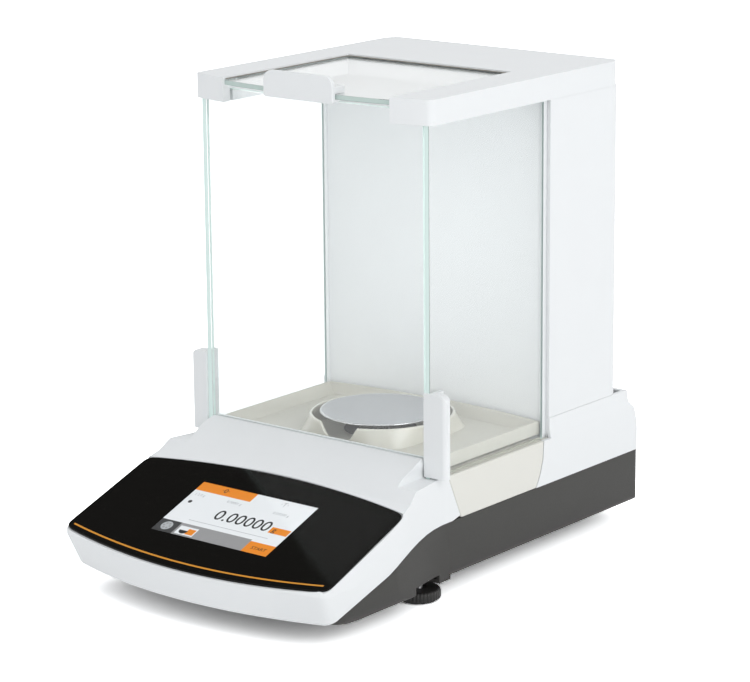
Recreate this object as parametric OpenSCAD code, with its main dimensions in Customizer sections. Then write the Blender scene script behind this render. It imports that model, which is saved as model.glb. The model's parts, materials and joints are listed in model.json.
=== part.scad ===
// Semi-micro balance: a dark lower housing on four feet, a sloping white front with a
// touch display, a beige chamber base with a weighing pan in a draft ring, a glass draft
// shield with two sliding side doors and a sliding top door, and a white rear column.
// Millimetres. The origin is on the table, midway between the outermost faces.
// +X is to the right of the user, +Y points to the rear and +Z is up.

/* [Housing] */
// Width of the lower housing
base_w = 194.4; // [188:0.4:200]
// Width over the display front
front_w = 216; // [212:0.5:222]
// Distance from the origin to the foremost point of the chin
front_reach = 182; // [179:0.5:188]
// Distance from the origin to the rear face
rear_reach = 182; // [179:0.5:188]
// Height of the housing underside above the table
floor_z = 12.5; // [11.5:0.25:14]
// Height of the upper edge of the dark housing
band_z = 50.5; // [48:0.5:53]
// Height of the ledges under the side doors
ledge_z = 80.5; // [78:0.5:83]
// Wall thickness of the plastic housings
wall = 2.4; // [1.8:0.1:3]
// Gap between neighbouring housing parts
seam = 0.3; // [0.2:0.05:0.6]
// Radius of the lower edge of the dark housing
hull_r = 8; // [5:0.5:10]

/* [Display] */
// Slope of the display
slope = 20.1; // [17:0.1:23]
// Width of the black lens
lens_w = 213; // [205:0.5:215]
// Thickness of the lens
lens_t = 1.6; // [1.2:0.1:2.4]
// Width of the visible picture
screen_w = 95; // [88:0.5:100]
// Length of the visible picture, measured along the slope
screen_l = 54; // [48:0.5:57]
// Width of the trim strip in the lens
trim_w = 1.8; // [1.2:0.1:2.6]

/* [Draft shield] */
// Width of the top frame
top_w = 192; // [188:0.5:196]
// Height of the top frame above the table
top_z = 320; // [300:1:340]
// Height of the side faces of the top frame
frame_h = 16; // [14:0.5:19]
// Half width of the opening in the top frame
hatch_x = 67.5; // [60:0.5:72]
// Thickness of the front glass and the side doors
glass_t = 3.8; // [3:0.1:4.4]
// Thickness of the top door glass
top_glass_t = 3; // [2.4:0.1:3.6]
// Distance from the origin forward to the front glass
glass_reach = 48.6; // [46:0.2:50]
// Half width to the inner face of the side doors
door_x = 88.7; // [87:0.1:89.5]
// Travel of each side door
door_travel = 68; // [50:1:69]
// Travel of the top door
hatch_travel = 70; // [50:1:74]
// Running clearance of a door in its rails
door_play = 0.3; // [0.2:0.05:0.4]

/* [Weighing chamber] */
// Diameter of the weighing pan
pan_d = 80; // [70:0.5:84]
// Thickness of the weighing pan
pan_t = 1.5; // [1:0.1:2]
// Height of the pan above the table
pan_z = 97.2; // [95:0.2:100]
// Distance of the pan axis behind the origin
pan_y = 19.4; // [12:0.2:24]
// Clearance round the pan inside the draft ring
pan_gap = 4.6; // [3:0.1:6]
// Wall thickness of the draft ring
ring_t = 2; // [1.4:0.1:2.6]
// Half width of the square foot of the draft ring
ring_foot = 44; // [42:0.5:48]
// Half width of the notch at the front of the draft ring
notch_x = 11; // [7:0.5:14]
// Height of the tray rim above the door ledges
tray_h = 11; // [9:0.5:12]

/* [Column] */
// Width of the column
column_w = 190.8; // [188:0.2:192]
// Distance from the origin to the front edge of the column
column_front = 74.6; // [72:0.2:78]
// Distance from the origin to the rear of the column at its middle
column_rear = 165; // [162:0.5:168]
// Height at which the column meets the rear cover
column_z = 94; // [91:0.5:97]
// Depth of the hollow in the column front panel
hollow = 7.5; // [5:0.5:9]

/* [Feet] */
// Distance of each levelling foot from the middle plane
foot_x = 81.4; // [76:0.2:83]
// Distance of the levelling feet in front of the origin
foot_reach = 46.8; // [42:0.2:50]
// Diameter of the levelling wheel
wheel_d = 28.4; // [24:0.2:30]
// Height of the levelling wheel
wheel_h = 8; // [6:0.25:8.5]
// Diameter of the foot stud
stud_d = 5; // [4:0.25:6]
// Play between the stud and its bush, on the radius
stud_play = 0.06; // [0.04:0.01:0.1]
// Number of grips round the levelling wheel
grips = 36; // [24:1:48]
// Diameter of the fixed rear feet
rear_foot_d = 18; // [14:0.5:22]

/* [Hidden] */
$fn = 48;

// Colours of the real materials
white = "#ECEEEE";
beige = "#D3D2CA";
dark = "#4D4D4B";
black = "#141413";
orange = "#E8890C";
steel = "#B9BABC";
glass = "#C9DBD680";
brass = "#C8A655";
board = "#2F6B45";
picture = "#DDE2E4";

// Small step that makes a cut pass its face
eps = 0.05;

// Housing
base_x = base_w / 2;
front_x = front_w / 2;
chin_z = floor_z + 6;
flare_start = -36;
flare_length = 80;
lower_slope = slope - 1;
low_fillet = 160;
low_front = 19 - front_reach;
low_corner = low_front + (band_z - chin_z) / tan(lower_slope);
low_tangent = low_fillet * tan(lower_slope / 2);
seam_top = -36.5;
seam_lean = 13.5;
rear_seam = [[58, 0], [62.5, 0.27], [65.6, 0.6], [66.5, 1]];
rear_corner = 9;
front_corner = 6;
chin_corner = 9;
nose_l = 32;
nose_tip = 4;
nose_in = 2;
nose_corner = 14;
chin_bow = 300;
front_bow = 380;
upper_bow = 520;
plate_t = 4;
floor_t = 2.5;
plate_lip = 10;
rib_h = 5;
rib_t = 2.5;
boss_h = 14;
plate_x = base_x - 9.4;
plate_front = -134;
plate_rear = rear_reach - 22;
plate_top = floor_z + floor_t + plate_t;
hook_y = pan_y;
hook_r = 11;
screw_d = 3;
screw_hole = 3.2;
head_d = 5.8;
head_hole = 6.4;
hex_d = 2.6;
through = 60;

// Display
lens_y = 78.3 - front_reach;
lens_z = 67.4;
lens_front = 76.9;
lens_rear = 22;
lens_front_bow = 520;
lens_rear_bow = 555;
lens_corner = 4.5;
rim_w = 0.5;
trim_inset = 5;
trim_t = 0.8;
trim_bow = 435;
board_t = 1.6;
module_t = 4;
module_margin = 5;
board_drop = 6;

// Draft shield
glass_front = -glass_reach;
glass_back = glass_front + glass_t;
lip_z = 93.4;
lip_t = 2.2;
frame_z = top_z - frame_h;
frame_front = -60.5;
guide_front = -41;
frame_bow = 461;
hatch_rear = 70.6;
hatch_top = top_z - 2;
hatch_bottom = hatch_top - top_glass_t;
guide_depth = 2.8;
bar_front = hatch_rear + 1.4;
bar_rear = bar_front + 5.6;
guide_rear = bar_rear + hatch_travel + 1.2;
front_glass_top = hatch_bottom - 3.2;
door_out = door_x + glass_t;
rail_wall = 1.5;
rail_in = door_x - door_play - rail_wall;
rail_out = door_out + door_play + rail_wall;
rail_floor = 1.7;
groove_z = ledge_z - 2.3;
door_bottom = groove_z + door_play;
groove_top = frame_z + 4.4;
door_top = groove_top - door_play;
strip_w = 7;
door_rear = column_front - 3.1;
strip_rear = door_rear + strip_w;
door_front = glass_front + 0.2;
rail_rear = strip_rear + door_travel + 1.5;
fin_out = 105.8;
fin_t = 6.4;
handle_foot = ledge_z + 1.7;
handle_h = 54;
handle_corner = 7;
hatch_front = frame_front + 1.5;
tab_x = 28;
tab_bottom = front_glass_top + 0.7;
tab_top = top_z + 9.6;

// Chamber
tray_x = door_x - 1.5;
tray_front = glass_back + lip_t + 0.9;
tray_z = ledge_z + tray_h;
tray_floor = ledge_z + 3.5;
pan_r = pan_d / 2;
rim_r = pan_r + pan_gap + ring_t;
ring_top = pan_z - 1.4;
post_r = 6;
post_gap = 0.4;
hub_l = 5.2;
ring_points = 72;
deck_t = 3;
tray_corner = 8;
tray_gap = 2.2;
peg_x = 60;
peg_y = [-20, 50];

// Column
column_x = column_w / 2;
column_wall = 2.2;
column_corner = 14;
column_bow = 550;
liner_x = door_x - 0.7;
liner_r = (pow(liner_x - 2, 2) + hollow * hollow) / (2 * hollow);
pocket_rear = strip_rear + door_travel + 0.5;

// Feet
foot_y = -foot_reach;
bush_r = stud_d / 2 + 2.4;
bush_flange = bush_r + 1.8;
stud_top = floor_z + 24;
pad_h = 1;
arch_front = foot_y - 28.5;
arch_rear = foot_y + 1.5;
arch_corner = 6;
arch_x = foot_x - 2;
arch_z = floor_z + 5.8;
rear_foot_x = 54;
rear_foot_y = rear_reach - 28;
rear_stud_d = 4.2;

// Sockets at the rear
power_x = 58;
usb_x = 30;
serial_x = -12;
socket_z = 32;
socket_face = rear_reach - wall - 0.8;

// Rear end of the load cell
cell_rear = pan_y + 84;
// Upper face of the load cell
cell_top = 68;
// Place of the calibration weight and its motor
cal_x = -58;

// A point at angle a on a circle
function on_circle(c, r, a) = c + r * [cos(a), sin(a)];

// Points of an arc in n steps
function arc(c, r, a0, a1, n) = [for (i = [0:n]) on_circle(c, r, a0 + (a1 - a0) * i / n)];

// The same points with x mirrored, in reverse order
function mirrored(p) = [for (i = [len(p) - 1:-1:0]) [-p[i][0], p[i][1]]];

// Smooth step from 0 to 1
function smooth(t) = let (c = max(0, min(1, t))) c * c * (3 - 2 * c);

// Half width of the housing at y: it flares towards the display
function half_w(y) = base_x + (front_x - base_x) * smooth((flare_start - y) / flare_length);

// Lower edge of the white front: a slope that runs into the dark band through a fillet
function low_z(y) =
    y > low_corner + low_tangent ? band_z :
    y < low_corner - low_tangent * cos(lower_slope) ?
        chin_z + (y - low_front) * tan(lower_slope) :
        band_z - low_fillet + sqrt(pow(low_fillet, 2) - pow(y - low_corner - low_tangent, 2));

// Height of the display plane at y
function display_z(y) = lens_z + (y - lens_y) * tan(slope);

// Front half outline with a bowed front, corners of radius rc and sides at x = hw
function bowed_end(hw, bow, rc, y_tip, n) =
    let (cb = [0, y_tip + bow],
         cc = [hw - rc, cb[1] - sqrt(pow(bow - rc, 2) - pow(hw - rc, 2))],
         a = atan2(cc[1] - cb[1], cc[0] - cb[0]))
    concat(arc(cc, rc, 0, a, 6), arc(cb, bow, a, -90, n));

// Closed outline: bowed front at y_tip, straight rear at y_rear with corners of radius rc_r
function plan_outline(hw, bow, rc, y_tip, rc_r, y_rear, n) =
    let (right = concat(arc([hw - rc_r, y_rear - rc_r], rc_r, 90, 0, 6), bowed_end(hw, bow, rc, y_tip, n)))
    concat(right, mirrored(right));

// Closed outline: bowed front at y_front, bowed rear at y_rear
function bowed_outline(hw, bow_f, rc_f, y_front, bow_r, rc_r, y_rear, n) =
    let (front = bowed_end(hw, bow_f, rc_f, y_front, n),
         rear = [for (p = bowed_end(hw, bow_r, rc_r, -y_rear, n)) [p[0], -p[1]]],
         right = concat([for (i = [len(rear) - 1:-1:0]) rear[i]], front))
    concat(right, mirrored(right));

// Extrudes a (Y, Z) outline across the whole width between x0 and x1
module across(x0, x1) {
    translate([x0, 0, 0]) rotate([90, 0, 90]) linear_extrude(x1 - x0) children();
}

// Extrudes an (X, Z) outline from y0 to y1
module along(y0, y1) {
    translate([0, y1, 0]) rotate([90, 0, 0]) linear_extrude(y1 - y0) children();
}

// Lifts a plan outline to the height z
function lifted(outline, z) = [for (p = outline) [p[0], p[1], z]];

// Solid skin over a stack of clockwise plan outlines with equal numbers of points
module skin(rings) {
    n = len(rings[0]);
    m = len(rings);
    polyhedron([for (r = rings, p = r) p], concat(
        [[for (i = [n - 1:-1:0]) i], [for (i = [0:n - 1]) (m - 1) * n + i]],
        [for (k = [0:m - 2], i = [0:n - 1]) [k * n + i, k * n + (i + 1) % n, (k + 1) * n + (i + 1) % n]],
        [for (k = [0:m - 2], i = [0:n - 1]) [k * n + i, (k + 1) * n + (i + 1) % n, (k + 1) * n + i]]));
}

// Copies to the left and the right side
module both_sides() {
    children();
    mirror([1, 0, 0]) children();
}

// Rectangle between two corners
module box(a, b) {
    translate(a) cube(b - a);
}

// Places children in the display plane: x across, y up the slope, z out of the lens
module on_display() {
    translate([0, lens_y, lens_z]) rotate([slope, 0, 0]) children();
}

// Plan of the housings: flared front, rounded rear corners, offset inwards by o
module housing_plan(o, tip) {
    steps = 10;
    sides = [for (i = [0:steps]) let (y = flare_start - flare_length * i / steps)
             [half_w(y) - o, y]];
    rear = arc([base_x - rear_corner, rear_reach - rear_corner], rear_corner - o, 90, 0, 6);
    right = concat(rear, sides, bowed_end(front_x - o, front_bow - o, front_corner - o, tip + o, 12));
    polygon(concat(right, mirrored(right)));
}

// Side outline of the dark lower housing
module lower_side(o, z_low, lift) {
    tip = -front_reach;
    rise = [for (i = [0:12]) let (y = low_front + (flare_start - low_front) * i / 12)
            [y, low_z(y) - seam + lift]];
    polygon(concat([[tip, z_low], [rear_reach + 1, z_low], [rear_reach + 1, band_z - seam + lift]],
                   [for (i = [12:-1:0]) rise[i]], [[tip, chin_z - seam + lift]]));
}

// Rounded bottom of the dark housing, as a stack of offset plans that runs up to the chin
module lower_round(o) {
    r = hull_r - o;
    tip = nose_tip + o - front_reach;
    skin(concat(
        [for (a = [0:22.5:90])
            let (in = o + r * (1 - sin(a)), back = nose_l * (1 - sin(a)))
            lifted(plan_outline(front_x - nose_in - in, chin_bow, nose_corner, tip + back, rear_corner,
                                rear_reach - in - nose_in * (1 - sin(a)), 8),
                   floor_z + o + r * (1 - cos(a)))],
        [lifted(plan_outline(front_x - o, chin_bow, nose_corner, tip, rear_corner, rear_reach - o, 8),
                band_z + 30)]));
}

module lower_body(o, z_low, lift) {
    intersection() {
        translate([0, 0, floor_z - 1])
            linear_extrude(band_z + 20) housing_plan(o + 0.6, nose_tip - front_reach);
        across(-front_x, front_x) lower_side(o, z_low, lift);
        lower_round(o);
        lower_width(o);
    }
}

// Cross section that draws in the lower edges along the straight sides
module lower_width(o) {
    r = hull_r - o;
    x = base_x - o;
    quarter = arc([x - r, floor_z + hull_r], r, 0, -90, 6);
    side = concat([[x, band_z + 20]], quarter);
    straight = arch_rear + 12;
    union() {
        along(straight, rear_reach + 2) polygon(concat(side, mirrored(side)));
        box([-front_x, -front_reach - 2, 0], [front_x, straight, band_z + 20]);
    }
}

// Arch in the side wall that gives a finger access to the wheel, and the hole over the stud
module foot_recess() {
    hull() {
        for (y = [arch_front + arch_corner, arch_rear - arch_corner])
            translate([arch_x, y, 0]) cylinder(r = arch_corner, h = arch_z);
        box([arch_x, arch_front, 0], [front_x + 5, arch_rear, arch_z]);
    }
    translate([foot_x, foot_y, 0]) cylinder(r = bush_flange + seam, h = floor_z + floor_t + eps);
}

// Screw positions on the underside
function screw_spots() = [for (x = [-1, 1], y = [-100, 60, 140]) [x * (plate_x - 14), y]];

module bottom_housing() {
    color(dark) difference() {
        lower_body(0, floor_z - 1, 0);
        lower_body(wall, floor_z + floor_t, 10);
        // opening over the base plate
        box([plate_lip - plate_x, plate_front + plate_lip, floor_z - 1],
            [plate_x - plate_lip, plate_rear - plate_lip, floor_z + floor_t + 1]);
        both_sides() foot_recess();
        for (p = screw_spots())
            translate([p[0], p[1], 0]) cylinder(d = head_hole, h = floor_z + floor_t + 1);
        both_sides() translate([rear_foot_x, rear_foot_y, 0])
            cylinder(d = rear_stud_d + 2 * seam, h = floor_z + floor_t + 1);
        connector_openings();
    }
}

module base_plate() {
    rib_end = 6;
    rib_x = 40;
    color(dark) difference() {
        union() {
            box([-plate_x, plate_front, floor_z + floor_t], [plate_x, plate_rear, plate_top]);
            both_sides() at_foot(1)
                translate([0, 0, floor_z + floor_t]) cylinder(r = bush_flange, h = boss_h);
            // stiffening ribs
            for (y = [-90, 72])
                box([rib_end - plate_x, y, plate_top - eps],
                    [plate_x - rib_end, y + rib_t, plate_top + rib_h]);
            both_sides()
                box([rib_x, plate_front + rib_end, plate_top - eps],
                    [rib_x + rib_t, plate_rear - rib_end, plate_top + rib_h]);
        }
        both_sides() at_foot(1) cylinder(r = bush_r, h = through);
        for (p = screw_spots()) translate([p[0], p[1], 0]) cylinder(d = screw_hole, h = through);
        both_sides() translate([rear_foot_x, rear_foot_y, 0]) cylinder(d = rear_stud_d, h = through);
        translate([0, hook_y, 0]) cylinder(r = hook_r, h = through);
    }
}

module hook_cover() {
    flange_t = 2;
    color(black) translate([0, hook_y, floor_z + floor_t - flange_t]) {
        cylinder(r = hook_r + 3, h = flange_t);
        cylinder(r = hook_r - 0.4, h = flange_t + 3);
    }
}

module base_screws() {
    sunk = 0.4;
    color(steel) for (p = screw_spots()) translate([p[0], p[1], floor_z + sunk]) difference() {
        union() {
            cylinder(d = head_d, h = floor_t - sunk);
            cylinder(d = screw_d, h = 8);
        }
        translate([0, 0, -1]) cylinder(d = hex_d, h = 2.2, $fn = 6);
    }
}

module at_foot(side) {
    translate([side * foot_x, foot_y, 0]) children();
}

module foot_wheel(side) {
    r = wheel_d / 2;
    grip_r = PI * r / grips * 0.8;
    color(black) at_foot(side) difference() {
        rotate_extrude()
            polygon([[stud_d / 2, pad_h], [r - 1, pad_h], [r, pad_h + 1], [r, wheel_h - 1.2],
                     [r - 1.2, wheel_h], [stud_d / 2, wheel_h]]);
        for (i = [0:grips - 1])
            rotate(360 * i / grips) translate([r + grip_r * 0.45, 0, 0])
                cylinder(r = grip_r, h = wheel_h + 1, $fn = 16);
    }
}

module foot_stud(side) {
    color(steel) at_foot(side) translate([0, 0, 2]) cylinder(d = stud_d, h = stud_top - 2);
}

module foot_pad(side) {
    color(black) at_foot(side) difference() {
        cylinder(r = wheel_d / 2 - 2.6, h = pad_h);
        translate([0, 0, -1]) cylinder(r = 3, h = 3);
    }
}

module foot_bush(side) {
    color(brass) at_foot(side) difference() {
        translate([0, 0, floor_z + floor_t]) cylinder(r = bush_r, h = boss_h);
        cylinder(r = stud_d / 2 + stud_play, h = through);
    }
}

module rear_foot(side) {
    color(black) translate([side * rear_foot_x, rear_foot_y, 0]) {
        rotate_extrude() polygon([[0, 0], [rear_foot_d / 2 - 1.5, 0], [rear_foot_d / 2, 1.5],
                                  [rear_foot_d / 2 - 1, floor_z], [0, floor_z]]);
        cylinder(d = rear_stud_d, h = plate_top + 2);
    }
}

// Side outline of the white front, offset inwards by o
module front_side(o) {
    crest = glass_front - 1.6;
    knee = lens_y + (lens_rear - 1) * cos(slope);
    sag = 0.12;
    low = [for (i = [0:14]) let (y = low_front + (seam_top + seam_lean - low_front) * i / 14)
           [y, low_z(y)]];
    top_rear = glass_back + lip_t;
    polygon(concat(
        [[-front_reach - 5, chin_z]], low,
        [[seam_top, ledge_z], [top_rear - o, ledge_z], [top_rear - o, lip_z - o], [crest, lip_z - o]],
        [for (t = [0.15:0.17:1])
            let (y = crest + (knee - crest) * t)
            [y, lip_z - o + (display_z(knee) - lip_z) * (t - sag * sin(180 * t))]],
        [[-front_reach - 5, display_z(-front_reach - 5) - o]]));
}

// Cross section of the white front: a raised middle with curved ends and low shoulders
module front_section(o) {
    foot = ledge_z + 0.5 - o;
    end_x = door_x - 2.7;
    // curved end of the raised middle
    end = [[0, lip_z + 1], [1, lip_z - 0.8], [1.7, lip_z - 3.2], [1.4, lip_z - 6.2],
           [0.8, lip_z - 9], [1.4, foot + 0.5], [2.2, foot]];
    right = concat([[end_x - o, lip_z + 20]], [for (p = end) [end_x + p[0] - o, p[1]]],
                   [[front_x + 1, foot], [front_x + 1, chin_z - 2]]);
    polygon(concat(right, mirrored(right)));
}

// The chin leans back from the lens edge to a more bowed lower edge
module chin_loft(o) {
    upper = plan_outline(front_x - o, upper_bow, front_corner, o - front_reach, 2, 0, 14);
    lower = plan_outline(front_x - 3 - o, chin_bow, chin_corner, 2 + o - front_reach, 2, 0, 14);
    skin([lifted(lower, chin_z - 2), lifted(upper, chin_z + 20), lifted(upper, top_z)]);
}

module front_body(o) {
    intersection() {
        across(-front_x - 1, front_x + 1) front_side(o);
        linear_extrude(lip_z + 10) housing_plan(o, -front_reach - 10);
        along(-front_reach - 6, 0) front_section(o);
        chin_loft(o);
    }
}

module lens_outline(o) {
    polygon(bowed_outline(lens_w / 2 - o, lens_front_bow, lens_corner - o, o - lens_front,
                          lens_rear_bow, 3 - o, lens_rear - o, 16));
}

// Block over the lens outline, h high from the seat of the lens, inset by o
module lens_block(o, h) {
    intersection() {
        on_display() translate([0, 0, -lens_t]) linear_extrude(h) lens_outline(o);
        linear_extrude(top_z) housing_plan(o + rim_w, -front_reach - 10);
    }
}

module front_housing() {
    color(white) difference() {
        front_body(0);
        difference() {
            front_body(wall);
            // skin that carries the lens
            on_display() box([-front_x, -200, -lens_t - wall], [front_x, lens_rear + 1, 20]);
        }
        // seat of the lens and opening for the display module
        lens_block(-seam, 20);
        on_display() display_space(-lens_t - wall - 1, 0, module_margin + seam);
        // groove of the front glass
        box([-liner_x - seam, glass_front - seam, lip_z - 5.6],
            [liner_x + seam, glass_back + seam, lip_z + 1]);
        // slots for the front ends of the side doors
        both_sides() box([door_x - door_play, door_front - 1, groove_z], [door_out + door_play, 0, lip_z]);
        // open underside
        across(-front_x, front_x)
            polygon([[low_front + 8, chin_z - 3], [seam_top + seam_lean + 1, chin_z - 3],
                     [seam_top + seam_lean + 1, low_z(0) + wall], [low_front + 8, chin_z + 2]]);
    }
}

// Box of the picture, grown by m, between two heights above the display plane
module display_space(z0, z1, m) {
    box([-screen_w / 2 - m, -screen_l - m, z0], [screen_w / 2 + m, m, z1]);
}

module display_lens() {
    color(black) difference() {
        lens_block(0, lens_t);
        on_display() {
            display_space(-lens_t - 1, 1, seam);
            trim_shape(seam / 2, -trim_t, 1);
        }
    }
}

// Curved strip along the front of the lens
module trim_shape(grow, z0, z1) {
    bow = trim_bow;
    tip = -lens_front + trim_inset;
    end_x = lens_w / 2 - 6;
    translate([0, 0, z0]) linear_extrude(z1 - z0) intersection() {
        translate([0, tip + bow]) difference() {
            circle(r = bow + grow, $fn = 720);
            circle(r = bow - trim_w - grow, $fn = 720);
        }
        translate([-end_x - grow, tip - 2]) square([2 * (end_x + grow), 40]);
    }
}

module trim_strip() {
    color(orange) on_display() trim_shape(0, -trim_t, 0);
}

module display_window() {
    color(picture) on_display() display_space(-lens_t, 0, 0);
}

module display_module() {
    color(steel) on_display() display_space(-lens_t - module_t, -lens_t, module_margin);
}

module display_board() {
    z = -lens_t - module_t - board_drop;
    below = z - board_t;
    post_in = 6;
    color(board) on_display() {
        display_space(below, z, module_margin + 4);
        for (x = [-1, 1], y = [post_in - screen_l, -post_in])
            translate([x * (screen_w / 2 - post_in), y, z]) cylinder(d = 5, h = board_drop);
        // controller, memory and plug
        box([-30, -screen_l + 10, below - 3], [-12, -screen_l + 30, below]);
        box([8, -screen_l + 14, below - 2.2], [24, -screen_l + 26, below]);
        box([-20, -12, below - 4.4], [20, -6, below]);
    }
}

// Seam between the beige base and the rear cover, offset by d along Y
function rear_seam_line(d) = [for (p = rear_seam) [p[0] + d, band_z + p[1] * (ledge_z - band_z)]];

module chamber_base() {
    line = rear_seam_line(0);
    joint = seam + 0.2;
    color(beige) difference() {
        across(-base_x, base_x)
            polygon(concat([[seam_top + joint, ledge_z], [seam_top + seam_lean + joint, band_z]], line));
        difference() {
            box([wall - base_x, -80, band_z - 1], [base_x - wall, 120, ledge_z - deck_t]);
            both_sides()
                box([rail_in - deck_t, -80, groove_z - rail_floor - deck_t], [base_x, 120, ledge_z]);
        }
        both_sides()
            box([rail_in - door_play, -80, groove_z - rail_floor], [rail_out + door_play, 120, ledge_z + 1]);
        // hole round the pan support
        translate([0, pan_y, ledge_z - 4]) cylinder(r = 22, h = 8);
    }
}

module rail_profile(side) {
    mirror([side < 0 ? 1 : 0, 0, 0]) children();
}

module lower_rail(side) {
    color(dark) rail_profile(side) difference() {
        box([rail_in, seam_top + seam + 0.4, groove_z - rail_floor], [rail_out, rail_rear, ledge_z]);
        box([door_x - door_play, -80, groove_z], [door_out + door_play, rail_rear + 1, ledge_z + 1]);
    }
}

// Plan of the tray at offset o: rounded front corners and a rear that follows the hollow panel
module tray_plan(o) {
    rear = column_front - tray_gap;
    r = tray_corner;
    difference() {
        union() {
            box2([o - tray_x, tray_front + o + r], [tray_x - o, rear + hollow]);
            box2([r - tray_x, tray_front + o], [tray_x - r, rear]);
            for (s = [-1, 1]) translate([s * (tray_x - r), tray_front + r]) circle(r = r - o);
        }
        difference() {
            box2([-100, rear - 4], [100, rear + 60]);
            translate([0, rear + hollow - o - liner_r]) circle(r = liner_r, $fn = 360);
        }
    }
}

module box2(a, b) {
    translate(a) square(b - a);
}

module chamber_tray() {
    color(beige) difference() {
        translate([0, 0, ledge_z + 2]) linear_extrude(tray_h - 2) tray_plan(0);
        // dished floor
        hull() {
            translate([0, 0, tray_z]) linear_extrude(1) tray_plan(2.2);
            translate([0, 0, tray_floor]) linear_extrude(0.1) intersection() {
                tray_plan(7);
                box2([-tray_x, tray_front], [tray_x, column_front]);
            }
        }
        // hollow underside
        difference() {
            box([3 - tray_x, tray_front + 3, ledge_z - 1],
                [tray_x - 3, column_front - 6, tray_floor - 1.6]);
            for (x = [-peg_x, peg_x], y = peg_y) translate([x, y, ledge_z - 1]) cylinder(d = 10, h = 4);
        }
        translate([0, pan_y, ledge_z]) cylinder(r = 14, h = 10);
    }
    // pegs that stand on the chamber base
    color(beige) for (x = [-peg_x, peg_x], y = peg_y) translate([x, y, ledge_z]) cylinder(d = 9, h = 2.4);
}

// Clockwise outline that turns from a circle (t = 0) into a rounded square (t = 1)
function ring_outline(o, t) =
    [for (i = [0:ring_points - 1])
        let (a = -(i + 0.5) * 360 / ring_points,
             square_r = (ring_foot - o) / pow(pow(abs(cos(a)), 5.5) + pow(abs(sin(a)), 5.5), 1 / 5.5))
        (rim_r - o + (square_r - rim_r + o) * t) * [cos(a), sin(a)]];

// Ring of points k steps up the wall, offset inwards by o: the wall flares down to a square foot
function wall_ring(k, steps, o, z0, z1) =
    let (t = 1 - k / steps)
    lifted(ring_outline(o, t * (0.65 + 0.35 * t)), z0 + (z1 - z0) * k / steps);

// The outer wall runs up, the inner wall runs down, and the two are closed into one skin
module ring_loft(z0, z1) {
    n = 5;
    m = 2 * n + 2;
    c = ring_points;
    rings = concat([for (k = [0:n]) wall_ring(k, n, 0, z0, z1)],
                   [for (k = [n:-1:0]) wall_ring(k, n, ring_t, z0, z1)]);
    polyhedron([for (r = rings, p = r) p], concat(
        [for (k = [0:m - 1], i = [0:c - 1])
            [k * c + i, k * c + (i + 1) % c, (k + 1) % m * c + (i + 1) % c]],
        [for (k = [0:m - 1], i = [0:c - 1])
            [k * c + i, (k + 1) % m * c + (i + 1) % c, (k + 1) % m * c + i]]));
}

module draft_ring() {
    notch = [[notch_x - 3, tray_floor + 2.5], [notch_x - 0.6, tray_floor + 5.5],
             [notch_x + 1.6, ring_top - 1.4], [notch_x + 3.6, ring_top + 1]];
    color(beige) translate([0, pan_y, 0]) difference() {
        ring_loft(tray_floor, ring_top);
        // notch for lifting the pan
        along(-ring_foot - 10, 0)
            polygon(concat(notch, mirrored(notch)));
    }
}

module weighing_pan() {
    color(steel) translate([0, pan_y, 0]) rotate_extrude($fn = 96) polygon(concat(
        [[0, pan_z], [pan_r - 0.8, pan_z]], arc([pan_r - 0.8, pan_z - 0.8], 0.8, 90, -60, 6),
        [[pan_r - 2.2, pan_z - pan_t], [post_r + 5, pan_z - pan_t], [post_r + 2.4, pan_z - pan_t - 1.6],
         [post_r + 2.4, pan_z - hub_l], [post_r + post_gap, pan_z - hub_l],
         [post_r + post_gap, pan_z - pan_t - 0.6],
         [0, pan_z - pan_t - 0.6]]));
}

module pan_support() {
    flange_t = 3;
    color(steel) translate([0, pan_y, cell_top]) {
        cylinder(r = post_r, h = pan_z - pan_t - 0.6 - cell_top);
        cylinder(r = 13, h = flange_t);
    }
}

module front_glass() {
    color(glass) box([-liner_x, glass_front, lip_z - 5.4], [liner_x, glass_back, front_glass_top]);
}

module door_glass(side) {
    color(glass) rail_profile(side) box([door_x, door_front, door_bottom], [door_out, door_rear, door_top]);
}

module door_strip(side) {
    color(white) rail_profile(side)
        box([door_x, door_rear, ledge_z + 1.8], [door_out, strip_rear, frame_z - 0.4]);
}

// Plan of a corner handle: a rounded fin in front of the door edge and a flange along the glass.
// The right fin covers the edge of the glass, the left one leaves it open.
module handle_plan(side) {
    face = door_front - 1.4;
    fin_in = side > 0 ? door_x - 0.4 : door_out - 0.2;
    difference() {
        union() {
            box2([fin_in, face], [fin_out - fin_t / 2, face + fin_t]);
            translate([fin_out - fin_t / 2, face + fin_t / 2]) circle(d = fin_t, $fn = 32);
            box2([door_out, face], [door_out + 2.6, face + 12]);
        }
        box2([door_x - 2, door_front], [door_out, face + 30]);
    }
}

module door_handle(side) {
    color(white) rail_profile(side) intersection() {
        translate([0, 0, handle_foot]) linear_extrude(handle_h) handle_plan(side);
        along(-100, 0) handle_front(handle_foot, handle_foot + handle_h);
    }
}

// Front view of a corner handle: rounded upper outer corner and a flared foot
module handle_front(z0, z1) {
    r = handle_corner;
    polygon(concat([[door_x, z0], [fin_out + 0.6, z0], [fin_out, z0 + 5], [fin_out, z1 - r]],
                   arc([fin_out - r, z1 - r], r, 0, 90, 8), [[door_x - 0.4, z1], [door_x - 0.4, z0 + 9]]));
}

module top_door_glass() {
    edge_x = hatch_x + guide_depth - door_play;
    color(glass) translate([0, 0, hatch_bottom]) linear_extrude(top_glass_t) union() {
        intersection() {
            translate([0, hatch_front + frame_bow]) circle(r = frame_bow, $fn = 720);
            box2([-hatch_x + door_play, -70], [hatch_x - door_play, 0]);
        }
        box2([-edge_x, guide_front + 1], [edge_x, bar_front]);
    }
}

module top_door_bar() {
    color(white) box([-60, bar_front, hatch_bottom], [60, bar_rear, hatch_top]);
}

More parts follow.
